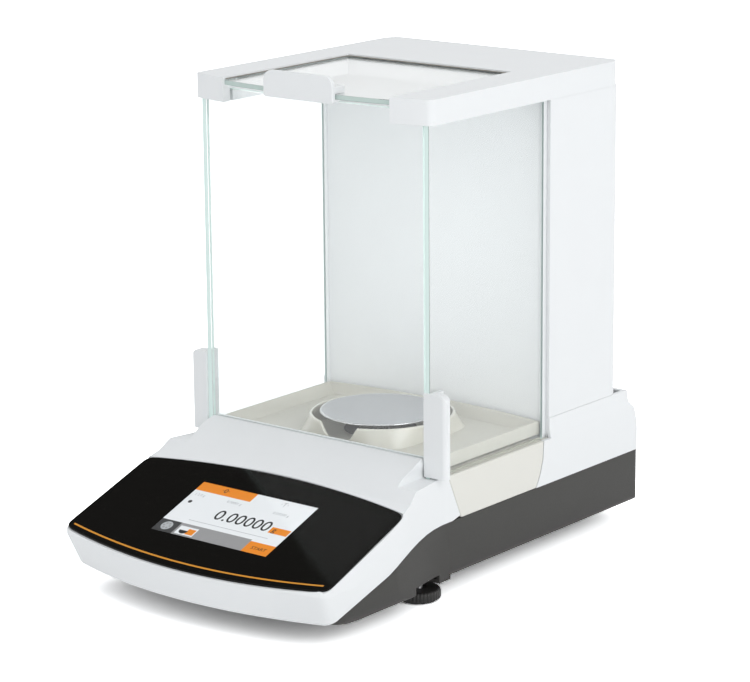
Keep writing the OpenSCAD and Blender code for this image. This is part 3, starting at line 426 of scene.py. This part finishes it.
def slab(outline, low, high):
    """A flat plate on a counterclockwise outline: its points at both heights, its sides and two caps."""
    n = len(outline)
    points = np.concatenate([np.c_[outline, np.full(n, low)], np.c_[outline, np.full(n, high)]])
    return points, [*cells(2, n).tolist(), list(range(n - 1, -1, -1)), list(range(n, 2 * n))]


def lens_reach(turn, out=0.0, back=0.0):
    """Distance from the picture's middle to the lens edge: a smooth minimum, which rounds the corners,
    of the distances to two flared sides, a bowed front and a bowed rear. out and back grow it."""
    c, s, middle = np.cos(turn), np.sin(turn), -SCREEN_L / 2
    side = (LENS_SIDE + out - LENS_FLARE * middle) / np.maximum(np.abs(c) + LENS_FLARE * s, 1e-3)
    ahead, behind = LENS_TIP - out + LENS_BOW - middle, middle - (LENS_REAR + back - LENS_REAR_BOW)
    front = ahead * s + np.sqrt((ahead * s) ** 2 - ahead ** 2 + LENS_BOW ** 2)
    rear = -behind * s + np.sqrt((behind * s) ** 2 - behind ** 2 + LENS_REAR_BOW ** 2)
    return (side ** -CORNER + front ** -CORNER + rear ** -CORNER) ** (-1 / CORNER)


# White ABS: a fine even grain, satin
white_abs = moulded("fine_white_abs", "#E6E8E9", 0.42, grain=0.35, relief=0.02, mottle=0.012)
# The lens reaches past the rim of its seat in front, so the rim is cut away under it
turn = np.linspace(0, 2 * np.pi, SEAT_STEPS, endpoint=False)
reach = lens_reach(turn, out=SEAT_OUT, back=SEAT_BACK)
outline = np.c_[reach * np.cos(turn), reach * np.sin(turn) - SCREEN_L / 2]
points, faces = slab(outline, -LENS_T - SEAT_SINK, SEAT_CUT)
seat = bpy.data.meshes.new("seat")
seat.from_pydata(on_display(points) / 1000, [], faces)
softened("front_housing", 1.0, white_abs, cutter=seat)


# Display
# A black back-printed lens lies in a seat that slopes at 20 degrees. The picture shines through
# its clear window: a white page with an orange tab, a reading of zeros and a row of keys.
PAGE_DEPTH, TILE_T = 0.12, 0.02
SCREEN_CLOUDS, SCREEN_DIM = 60.0, 0.97
CAP_RATIO, KEY_TOP = 1.38, -41.8  # font size over capital height, upper edge of the keys
ICON_X, ICON_Y, PETALS, PETAL_OUT, PETAL_R = -39.3, -47.6, 6, 2.4, 0.8
LENS_STEPS, STRIP_STEPS = 360, 60
STRIP_TIP, STRIP_BOW, STRIP_W, STRIP_END = -77.2, 490.0, 1.4, 103.0
STRIP_SUNK, STRIP_PROUD = 0.5, 0.03


def glowing(name, code, lit):
    """A lit area under a gloss front: part painted, part shining, with a faint uneven backlight."""
    made, tree = new_finish(name)
    place = add(tree, "TexCoord").outputs["Object"]
    cloud = add(tree, "TexNoise", {"Vector": place, "Scale": SCREEN_CLOUDS, "Detail": 1.0})
    base = np.array(colour(code)[:3])
    tone = add(tree, "Mix", {0: cloud.outputs[0], 6: [*(base * SCREEN_DIM), 1], 7: [*base, 1]},
               data_type="RGBA")
    coat(tree, add(tree, "BsdfPrincipled", {
        "Base Color": tone.outputs[2], "Roughness": 0.35, "Emission Color": tone.outputs[2],
        "Emission Strength": lit, "Coat Weight": 1.0, "Coat Roughness": 0.04}))
    return made


def oblong(x0, x1, y0, y1):
    """Corners of an upright oblong, counterclockwise."""
    return np.array([(x0, y0), (x1, y0), (x1, y1), (x0, y1)])


def disc(x, y, r, start=0, stop=360, n=24):
    """Points of a circle, or of a segment between two angles in degrees."""
    turn = np.radians(np.linspace(start, stop, n, endpoint=stop - start < 360))
    return np.c_[x + r * np.cos(turn), y + r * np.sin(turn)]


def level(layer):
    """Height of a printed layer, counted upwards from the page."""
    return -PAGE_DEPTH + layer * TILE_T


def tile(outline, layer):
    """A flat area whose top is that layer."""
    return slab(outline, level(layer - 1), level(layer))


def lettering(words, x, y, height, weight, layer):
    """Flat letters of the given capital height, centred on x and y, as points and faces in mm."""
    text = bpy.data.curves.new("words", "FONT")
    text.body, text.align_x, text.align_y = words, "CENTER", "CENTER"
    text.size, text.offset, text.extrude = height * CAP_RATIO, weight, TILE_T / 2
    text.resolution_u = 4
    carrier = bpy.data.objects.new("words", text)
    flat = bpy.data.meshes.new_from_object(carrier)
    points = np.empty(len(flat.vertices) * 3)
    flat.vertices.foreach_get("co", points)
    faces = [list(face.vertices) for face in flat.polygons]
    bpy.data.objects.remove(carrier)
    bpy.data.meshes.remove(flat)
    return points.reshape(-1, 3) + (x, y, level(layer)), faces


# Back-printed glass: deep black with a hard gloss that varies faintly
lens_black = moulded("black_printed_glass", "#0F0E0C", 0.10, grain=2.0, relief=0.0, mottle=0.05, shine=0.1)
# Orange printed strip under clear lacquer
orange_lacquer = moulded("orange_lacquer", "#D9922F", 0.25, grain=0.4, relief=0.02, mottle=0.03)
# Lit areas of the screen: page, tabs, two keys, signs and faint signs
page_white = glowing("lit_white", "#E4E7E9", 0.22)
tab_orange = glowing("lit_orange", "#EE8A08", 0.12)
key_grey = glowing("lit_grey", "#9A9A9B", 0.10)
key_dark = glowing("lit_dark_grey", "#3C3D3E", 0.05)
ink = glowing("lit_black", "#171819", 0.0)
faint_ink = glowing("lit_pale_grey", "#B2B6B9", 0.15)

half = SCREEN_W / 2
aspect = half * 2 / SCREEN_L
corners = np.arctan2([1, 1, -1, -1], [aspect, -aspect, -aspect, aspect])
turn = np.linspace(0, 2 * np.pi, LENS_STEPS, endpoint=False)
turn = np.sort(np.concatenate([turn, corners % (2 * np.pi)]))
reach = lens_reach(turn)
window = np.minimum(half / np.maximum(np.abs(np.cos(turn)), 1e-6),
                    SCREEN_L / 2 / np.maximum(np.abs(np.sin(turn)), 1e-6))
rows = [  # distance from the middle and height, round the closed section of the lens
    (reach - 0.3, -LENS_T), (reach, -LENS_T + 0.3), (reach, -0.7), (reach - 0.1, -0.35),
    (reach - 0.35, -0.1), (reach - 0.7, 0.0), (reach - 0.9, 0.0), (window + 0.2, 0.0), (window, 0.0),
    (window, -LENS_T)]
points = np.stack([np.c_[r * np.cos(turn), r * np.sin(turn) - SCREEN_L / 2, np.full(len(turn), z)]
                   for r, z in rows])
shaped("display_lens", on_display(points), cells(*points.shape[:2], looped=True), lens_black)
x = np.linspace(-STRIP_END, STRIP_END, STRIP_STEPS)
y = STRIP_TIP + x ** 2 / (2 * STRIP_BOW)
outline = np.concatenate([np.c_[x, y - STRIP_W / 2], np.c_[x, y + STRIP_W / 2][::-1]])
points, faces = slab(outline, -STRIP_SUNK, STRIP_PROUD)
shaped("trim_strip", on_display(points), faces, orange_lacquer)
PAGE, ORANGE, GREY, DARK, INK, FAINT = range(6)
layers = [  # outline or letters with their finish, from the page upwards
    (slab(oblong(-half, half, -SCREEN_L, 0), -LENS_T, level(0)), PAGE),
    (tile(oblong(-half, -1.8, -8.8, 0), 1), ORANGE),
    (tile(oblong(31.5, 46.4, -32.3, -26.3), 1), ORANGE),
    (tile(oblong(-half, -31, -SCREEN_L, KEY_TOP), 1), DARK),
    (tile(oblong(-31, 27, -SCREEN_L, KEY_TOP), 1), GREY),
    (tile(oblong(27, half, -SCREEN_L, KEY_TOP - 1.4), 1), ORANGE),
    (tile(oblong(-29, 36, -37.9, -37.5), 1), FAINT),
    (tile(disc(ICON_X, ICON_Y, 4.2), 2), FAINT),
    (tile(oblong(-29.4, -14.6, -52.6, -44.4), 2), PAGE),
    (tile(oblong(-21.4, -15.4, -51.6, -46.0), 3), ORANGE),
    (tile(disc(-24.2, -48.4, 3.4, 180, 360), 4), INK),
    (lettering("0.00000", 7.6, -27.6, 10.2, 0.05, 1), INK),
    (lettering("·0·", -25.3, -4.2, 4.2, 0.004, 2), INK),
    (lettering("·T·", 23.6, -4.4, 4.2, 0.0, 1), FAINT),
    (lettering("g", 34.8, -29.0, 4.6, 0.02, 2), INK),
    (lettering("START", 37.6, -48.9, 2.9, 0.003, 2), INK),
    (lettering("1 2 0 g", -40.2, -13.0, 2.2, 0.0, 1), FAINT),
    (lettering("0.00001 g", -11.2, -13.2, 2.2, 0.0, 1), FAINT),
    (lettering("0.00000 g", 27.8, -13.6, 2.4, 0.0, 1), FAINT),
    (tile(disc(-42.0, -21.0, 1.5), 1), DARK),
]
for step in range(PETALS):
    turn = step * 2 * math.pi / PETALS
    petal = disc(ICON_X + PETAL_OUT * math.cos(turn), ICON_Y + PETAL_OUT * math.sin(turn), PETAL_R)
    layers.append((tile(petal, 3), GREY))
starts = np.cumsum([0] + [len(layer[0][0]) for layer in layers])
points = on_display(np.concatenate([layer[0][0] for layer in layers]))
faces = [[corner + start for corner in face]
         for (layer, _), start in zip(layers, starts) for face in layer[1]]
picture = bpy.data.meshes.new("display_picture")
picture.from_pydata(points / 1000, [], faces)
for finish in (page_white, tab_orange, key_grey, key_dark, ink, faint_ink):
    picture.materials.append(finish)
picture.polygons.foreach_set("material_index", [index for layer, index in layers for _ in layer[1]])
fit(bpy.data.objects.new("display_picture", picture), "display_window")
# Stamped tin-plated frame and its green board, hidden under the lens
tin_plate = metal("tin_plate", "#BFC1C2", 0.3, lay=(1, 8, 1), marks=0.6)
green_board = moulded("solder_resist_green", "#1F4A2E", 0.35, grain=0.5, relief=0.1, mottle=0.1)
dress(tin_plate, "display_module")
dress(green_board, "display_board")


# Chamber base
# The beige middle part under the draft shield, with a ledge and a beige runner for each side door.
# Beige ABS: the same fine grain as the white
beige_abs = moulded("fine_beige_abs", "#DEDDD6", 0.45, grain=0.35, relief=0.06, mottle=0.012)
# Acetal runners of the side doors: smooth, beige
runner_beige = moulded("beige_acetal_runner", "#CFCDC4", 0.4, grain=0.3, relief=0.03, mottle=0.02)
softened("chamber_base", 0.8, beige_abs)
dress(runner_beige, "lower_rail_left", "lower_rail_right")


# Tray
# A loose dished tray of satin beige plastic that lifts out for cleaning.
# Satin beige plastic, darker than the base
tray_plastic = moulded("satin_beige_plastic", "#BFBDB3", 0.36, grain=0.3, relief=0.04, mottle=0.012)
softened("chamber_tray", 0.8, tray_plastic)


# Draft ring
# A low beige wall round the pan, of a glossier plastic. It flares from a round rim to a rounded
# square foot, and a notch at the front lets a finger under the pan. A black disc inside it is painted
# shade under the pan.
PAN_Y = 19.4
RIM_R, RING_T, RING_FOOT = 46.6, 2.0, 44.0
SQUARENESS, FLARE = 4.4, 0.65
RING_LOW, RING_HIGH = 84.0, 95.8
NOTCH = ((8.6, 86.3), (11.2, 89.3), (14.4, 94.2), (15.6, 95.8))
NOTCH_FROM, NOTCH_TO, FINE_STEP, STEP = -112, -68, 0.5, 2.0  # degrees
WALL_ROWS, RIM_ROWS = 8, 9
# A black disc of painted shade under the pan: radii, heights, bulge and steps round it
SHADE_DISC_R, SHADE_DISC_HOLE, SHADE_DISC_LOW, SHADE_DISC_HIGH = 24.0, 14.5, 84.05, 84.7
SHADE_DISC_BULGE, SHADE_DISC_STEPS = 0.1, 96


def ring_points():
    """Each column is a wall section: up the outside, over a half-round rim and down the inside.
    Its radius blends from a superellipse at the foot to a circle at the rim."""
    fine = np.radians(np.arange(NOTCH_FROM, NOTCH_TO, FINE_STEP))
    turn = np.concatenate([fine, np.radians(np.arange(NOTCH_TO, NOTCH_FROM + 360, STEP))])
    spread = np.abs(np.cos(turn)) ** SQUARENESS + np.abs(np.sin(turn)) ** SQUARENESS
    foot = RING_FOOT / spread ** (1 / SQUARENESS)
    across = np.where(np.sin(turn) < 0, np.abs(RIM_R * np.cos(turn)), RIM_R)
    rim = np.interp(across, *zip(*NOTCH)) - RING_T / 2
    climb = np.linspace(0, 1, WALL_ROWS)[:, None]
    over = np.linspace(0, np.pi, RIM_ROWS)[:, None]
    height = np.concatenate([RING_LOW + (rim - RING_LOW) * climb, rim + RING_T / 2 * np.sin(over[1:-1]),
                             RING_LOW + (rim - RING_LOW) * climb[::-1]])
    inset = np.concatenate([0 * climb, RING_T / 2 * (1 - np.cos(over[1:-1])), RING_T + 0 * climb])
    drop = 1 - (np.minimum(height, RING_HIGH) - RING_LOW) / (RING_HIGH - RING_LOW)
    share = drop * (FLARE + (1 - FLARE) * drop)
    return about(0, PAN_Y, RIM_R + (foot - RIM_R) * share - inset, height, turn)


# A lighter beige than the tray, polished
ring_plastic = moulded("polished_beige_plastic", "#CECCC2", 0.14, grain=0.6, relief=0.01, mottle=0.012,
                       shine=0.7)
points = ring_points()
shaped("draft_ring", points, cells(*points.shape[:2], looped=True), ring_plastic)


def added(name, points, faces, finish, body, slot, sharp=35):
    """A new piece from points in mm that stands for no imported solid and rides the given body."""
    mesh = bpy.data.meshes.new(name)
    mesh.from_pydata(np.reshape(points, (-1, 3)) / 1000, [], faces)
    mesh.shade_smooth()
    mesh.set_sharp_from_angle(angle=math.radians(sharp))
    mesh.materials.append(finish)
    piece = bpy.data.objects.new(name, mesh)
    bpy.context.scene.collection.objects.link(piece)
    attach(piece, body)


# Painted shade under the pan: a black disc, dull, with a fine rough grain
painted_shade_black = moulded("painted_shade_black", "#121212", 0.9, grain=0.25, relief=0.3, mottle=0.15)
middle = (SHADE_DISC_LOW + SHADE_DISC_HIGH) / 2
section = np.array([  # radius and height
    (SHADE_DISC_HOLE, SHADE_DISC_LOW), (SHADE_DISC_R, SHADE_DISC_LOW), (SHADE_DISC_R + SHADE_DISC_BULGE, middle), (SHADE_DISC_R, SHADE_DISC_HIGH),
    (SHADE_DISC_HOLE, SHADE_DISC_HIGH), (SHADE_DISC_HOLE - SHADE_DISC_BULGE, middle)])
points = about(0, PAN_Y, *section.T[:, :, None], np.linspace(0, 2 * np.pi, SHADE_DISC_STEPS, endpoint=False))
added("painted_shade_disc", points, cells(*points.shape[:2], looped=True), painted_shade_black, body_of["chamber_tray"],
      slot_of["rear_foot_left"])


# Weighing pan
# A round pan turned from stainless steel and brushed round its centre, on a short hub that slips
# over the post of the load cell.
PAN_R, PAN_TOP, PAN_T = 40.0, 97.2, 1.5
PAN_EDGE, PAN_RIM, PAN_STEPS = 0.7, 1.5, 180
POST_R, HUB_R, HUB_L = 6.4, 8.4, 5.2
UNDERCUT, HUB_SPREAD, HUB_EASE, BORE_TOP = 1.6, 2.6, 1.6, 0.6
BRUSH_SPREAD, BRUSH_RELIEF, BRUSH_DEPTH = 0.07, 0.06, 0.00005  # the depth is in metres


def pan_points():
    """Rows round the turned profile, from the middle of the top over the rim to the hub's bore."""
    edge = np.radians(np.arange(90, -90, -20))
    rim = np.c_[PAN_R - PAN_EDGE + PAN_EDGE * np.cos(edge),
                PAN_TOP - PAN_EDGE + PAN_EDGE * np.sin(edge)]
    top = np.array([(0, PAN_TOP), (PAN_R - 2 * PAN_EDGE, PAN_TOP)])
    under = PAN_TOP - PAN_T
    below = np.array([(PAN_R - UNDERCUT, under), (HUB_R + HUB_SPREAD, under), (HUB_R, under - HUB_EASE),
                      (HUB_R, PAN_TOP - HUB_L), (POST_R, PAN_TOP - HUB_L), (POST_R, under - BORE_TOP),
                      (0, under - BORE_TOP)])
    section = np.concatenate([top, rim, below])[::-1]
    turn = np.linspace(0, 2 * np.pi, PAN_STEPS, endpoint=False)
    return about(0, PAN_Y, *section.T[:, :, None], turn)


def brushed_round(name, code, rough, pitch):
    """Noise on distance from the pan's axis, fine along it and slow round it, as a brush leaves."""
    made, tree = new_finish(name)
    place = add(tree, "Mapping", {"Vector": add(tree, "TexCoord").outputs["Object"],
                                  "Location": (0, -PAN_Y / 1000, 0), "Scale": (1, 1, 0)})
    reach = add(tree, "VectorMath", {0: place.outputs[0]}, operation="LENGTH")
    facing = add(tree, "SeparateXYZ", {0: add(tree, "VectorMath", {0: place.outputs[0]},
                                              operation="NORMALIZE").outputs[0]})
    out = add(tree, "Math", {0: reach.outputs["Value"], 1: 1000 / pitch}, operation="MULTIPLY")
    swirl = add(tree, "CombineXYZ", {0: out.outputs[0], 1: facing.outputs[0], 2: facing.outputs[1]})
    lines = add(tree, "TexNoise", {"Vector": swirl.outputs[0], "Scale": 1.0, "Detail": 3.0})
    gloss = add(tree, "MapRange", {"Value": lines.outputs[0], "To Min": rough - BRUSH_SPREAD,
                                   "To Max": rough + BRUSH_SPREAD})
    bump = add(tree, "Bump", {"Height": lines.outputs[0], "Strength": BRUSH_RELIEF,
                              "Distance": BRUSH_DEPTH})
    coat(tree, add(tree, "BsdfPrincipled", {"Base Color": colour(code), "Metallic": 1.0,
                                            "Roughness": gloss.outputs[0], "Normal": bump.outputs[0]}))
    return made


# Stainless steel brushed round, with the lines 0.5 mm apart so that they show
pan_steel = brushed_round("brushed_stainless_steel", "#C4C5C8", 0.34, pitch=0.5)
# The turned rim is polished
polished_rim = metal("polished_steel_rim", "#C8C9CB", 0.16, lay=(1, 1, 8), marks=1.0)
points = pan_points()
pan = shaped("weighing_pan", points, cells(*points.shape[:2]), pan_steel)
pan.data.materials.append(polished_rim)
out = [math.hypot(face.center.x, face.center.y - PAN_Y / 1000) for face in pan.data.polygons]
pan.data.polygons.foreach_set("material_index", [int(r > (PAN_R - PAN_RIM) / 1000) for r in out])
dress(bright_steel, "pan_support")


# Draft shield glass
# Float glass, clear on its faces, with ground edges that look pale green. The front pane stands
# in a groove of the front housing and in the top frame.
HAZE_SCALE, HAZE_START, HAZE_END, HAZE = 40.0, 0.55, 0.9, 0.02
# Painted glow of the upright panes' edges
PAINTED_EDGE_GLOW = 0.14
PANE_EDGE, FACE_TILT = 0.35, 0.5


def float_glass():
    """Clear glass with a trace of handling marks in its gloss."""
    made, tree = new_finish("float_glass")
    place = add(tree, "TexCoord").outputs["Object"]
    marks = add(tree, "TexNoise", {"Vector": place, "Scale": HAZE_SCALE, "Detail": 3.0})
    gloss = add(tree, "MapRange", {"Value": marks.outputs[0], "From Min": HAZE_START, "From Max": HAZE_END,
                                   "To Min": 0.0, "To Max": HAZE})
    coat(tree, add(tree, "BsdfPrincipled", {"Base Color": colour("#FCFEFE"), "Roughness": gloss.outputs[0],
                                            "IOR": 1.5, "Transmission Weight": 1.0}))
    return made


def pane(node, axis, edge):
    """A pane from its solid: clear on the two faces across the given axis, ground all round its rim.
    It casts no shadow, as thin clear glass hardly does."""
    piece = softened(node, PANE_EDGE, clear_glass)
    piece.visible_shadow = False
    piece.data.materials.append(edge)
    normals = np.empty(len(piece.data.polygons) * 3)
    piece.data.polygons.foreach_get("normal", normals)
    rim = np.abs(normals.reshape(-1, 3)[:, axis]) < FACE_TILT
    piece.data.polygons.foreach_set("material_index", rim.astype(np.int32))
    return piece


# Clear float glass
clear_glass = float_glass()
# Ground glass edge: matt, pale grey green
ground_edge = moulded("ground_glass_edge", "#B9C9C4", 0.4, grain=0.4, relief=0.05, mottle=0.06)
# Edges of the upright panes: ground glass with a painted glow and a paler tone, for the light that the
# pane gathers
painted_glow_edge = moulded("painted_glow_glass_edge", "#CFE0DC", 0.4, grain=0.4, relief=0.05, mottle=0.03)
shader = next(node for node in painted_glow_edge.node_tree.nodes if node.bl_idname == "ShaderNodeBsdfPrincipled")
shader.inputs["Emission Color"].default_value = colour("#CFE0DC")
shader.inputs["Emission Strength"].default_value = PAINTED_EDGE_GLOW
pane("front_glass", 1, painted_glow_edge)


# Side doors
# Each pane slides to the rear in two runners. A moulded corner handle is clipped over its lower
# front corner. A strip on its rear edge closes the gap to the column and ends in a foot in the groove.
PANE_OUT = 92.2  # just clear of the handle's flange, so that the flange stays bright behind the glass
FOOT_INSET, FOOT_STEP, FOOT_EASE, FOOT_LOW, FOOT_LAP = 0.2, 0.1, 0.3, 78.7, 0.6
for side in ("left", "right"):
    glass = pane(side + "_door_glass", 0, painted_glow_edge).data
    for vertex in glass.vertices:
        vertex.co.x = min(max(vertex.co.x, -PANE_OUT / 1000), PANE_OUT / 1000)
    softened(side + "_door_handle", 0.8, white_abs)
    softened(side + "_door_strip", 0.5, white_abs)
    (left, front, low), (right, rear, _) = np.array(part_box(side + "_door_strip")) * 1000
    if side == "right":
        start, stop = left + FOOT_INSET, min(right, PANE_OUT)
    else:
        start, stop = max(left, -PANE_OUT), right - FOOT_INSET
    outline = [(start, front + FOOT_STEP), (stop, front + FOOT_STEP), (stop, rear - FOOT_EASE),
               (stop - FOOT_EASE, rear), (start + FOOT_EASE, rear), (start, rear - FOOT_EASE)]
    added(side + "_strip_foot", *slab(np.array(outline), FOOT_LOW, low + FOOT_LAP), white_abs,
          side + "_door", slot_of[side + "_door_strip"])


# Top frame
# A white moulded frame that caps the front glass and the column. The top door slides in guides
# under its roof, and two white runners hold the upper edges of the side doors.
softened("top_frame", 1.2, white_abs)
dress(white_abs, "upper_rail_left", "upper_rail_right")


# Top door
# A flat pane with a stiffening bar at its rear edge and an upright grip over its front edge.
pane("top_door_glass", 2, ground_edge)
softened("top_door_handle", 0.8, white_abs)
softened("top_door_bar", 0.4, white_abs)
# A grey cord in the frame runs along the opening and shows as a dark line at its edge: the left half of
# its path, radius and height
CORD_HALF = ((-66.9, -52.9), (-66.9, 67.9), (-66.3, 69.3), (-64.9, 69.9))
CORD_R, CORD_Z, CORD_SIDES = 0.4, 318.8, 10
ASKEW = (0.3, 0.2, 0.93)


def tube_points(path, radius, around):
    """Rings of the given radius across a path, each square to the mean of the two steps beside it.
    They start from a direction that lies along none of the steps."""
    path = np.array(path, float)
    along = np.gradient(path, axis=0)
    along /= np.linalg.norm(along, axis=1)[:, None]
    side = np.cross(along, ASKEW)
    side /= np.linalg.norm(side, axis=1)[:, None]
    turn = np.linspace(0, 2 * np.pi, around, endpoint=False)[:, None]
    rings = np.cos(turn) * side[:, None] + np.sin(turn) * np.cross(along, side)[:, None]
    return path[:, None] + radius * rings


# Grey cord: soft, dull grey
grey_cord = moulded("grey_cord", "#8F8B84", 0.6, grain=0.4, relief=0.05, mottle=0.04)
path = [(x, y, CORD_Z) for x, y in CORD_HALF] + [(-x, y, CORD_Z) for x, y in CORD_HALF[::-1]]
points = tube_points(path, CORD_R, CORD_SIDES)
rows, around = points.shape[:2]
caps = [list(range(around - 1, -1, -1)), [(rows - 1) * around + k for k in range(around)]]
added("top_door_grey_cord", points, [*cells(rows, around).tolist(), *caps], grey_cord, "frame",
      slot_of["front_glass"])


# Rear cover and column
# The white shell behind the chamber: a low cover over the base, a tall bowed column and a hollow
# front panel. Two socket screws hold the cover from the rear.
softened("rear_cover", 1.5, white_abs)
softened("column_shell", 1.0, white_abs)
softened("column_liner", 0.5, white_abs)
# Thin lips of the column that close the gaps beside the liner and beside each door strip
LIPS = (("lip_inner_", 87.9, 88.7), ("lip_outer_", 92.6, 93.4))
LIP_FRONT, LIP_REAR, LIP_EASE = 74.7, 76.8, 0.2
LIP_LOW, LIP_HIGH = 76.8, 303.8
for name, near, far in LIPS:
    for side, sign in (("left", -1), ("right", 1)):
        start, stop = sorted((sign * near, sign * far))
        outline = [(start, LIP_REAR), (start, LIP_FRONT + LIP_EASE), (start + LIP_EASE, LIP_FRONT),
                   (stop - LIP_EASE, LIP_FRONT), (stop, LIP_FRONT + LIP_EASE), (stop, LIP_REAR)]
        added(name + side, *slab(np.array(outline), LIP_LOW, LIP_HIGH), white_abs, "frame",
              slot_of["column_shell"])
dress(plated_steel, "rear_screws")


# Sockets
# A black plate in the rear wall carries a power inlet, a USB socket and a nine-pin socket.
dress(black_abs, "connector_plate", "power_inlet")
dress(tin_plate, "usb_socket", "serial_socket")


# Weighing works
# Out of sight in the base: a milled aluminium load cell with its magnet, the calibration weight
# and its motor, and the main board.
# Milled aluminium: fine straight cutter marks
milled_aluminium = metal("milled_aluminium", "#C6C8CA", 0.4, lay=(1, 8, 1), marks=1.0)
for name in ("weigh_cell", "magnet", "cal_weight", "cal_motor", "main_board"):
    dress({"circuit_board": green_board, "black_plastic": black_abs, "cell_aluminium": milled_aluminium}
          .get(slot_of[name], bright_steel), name)
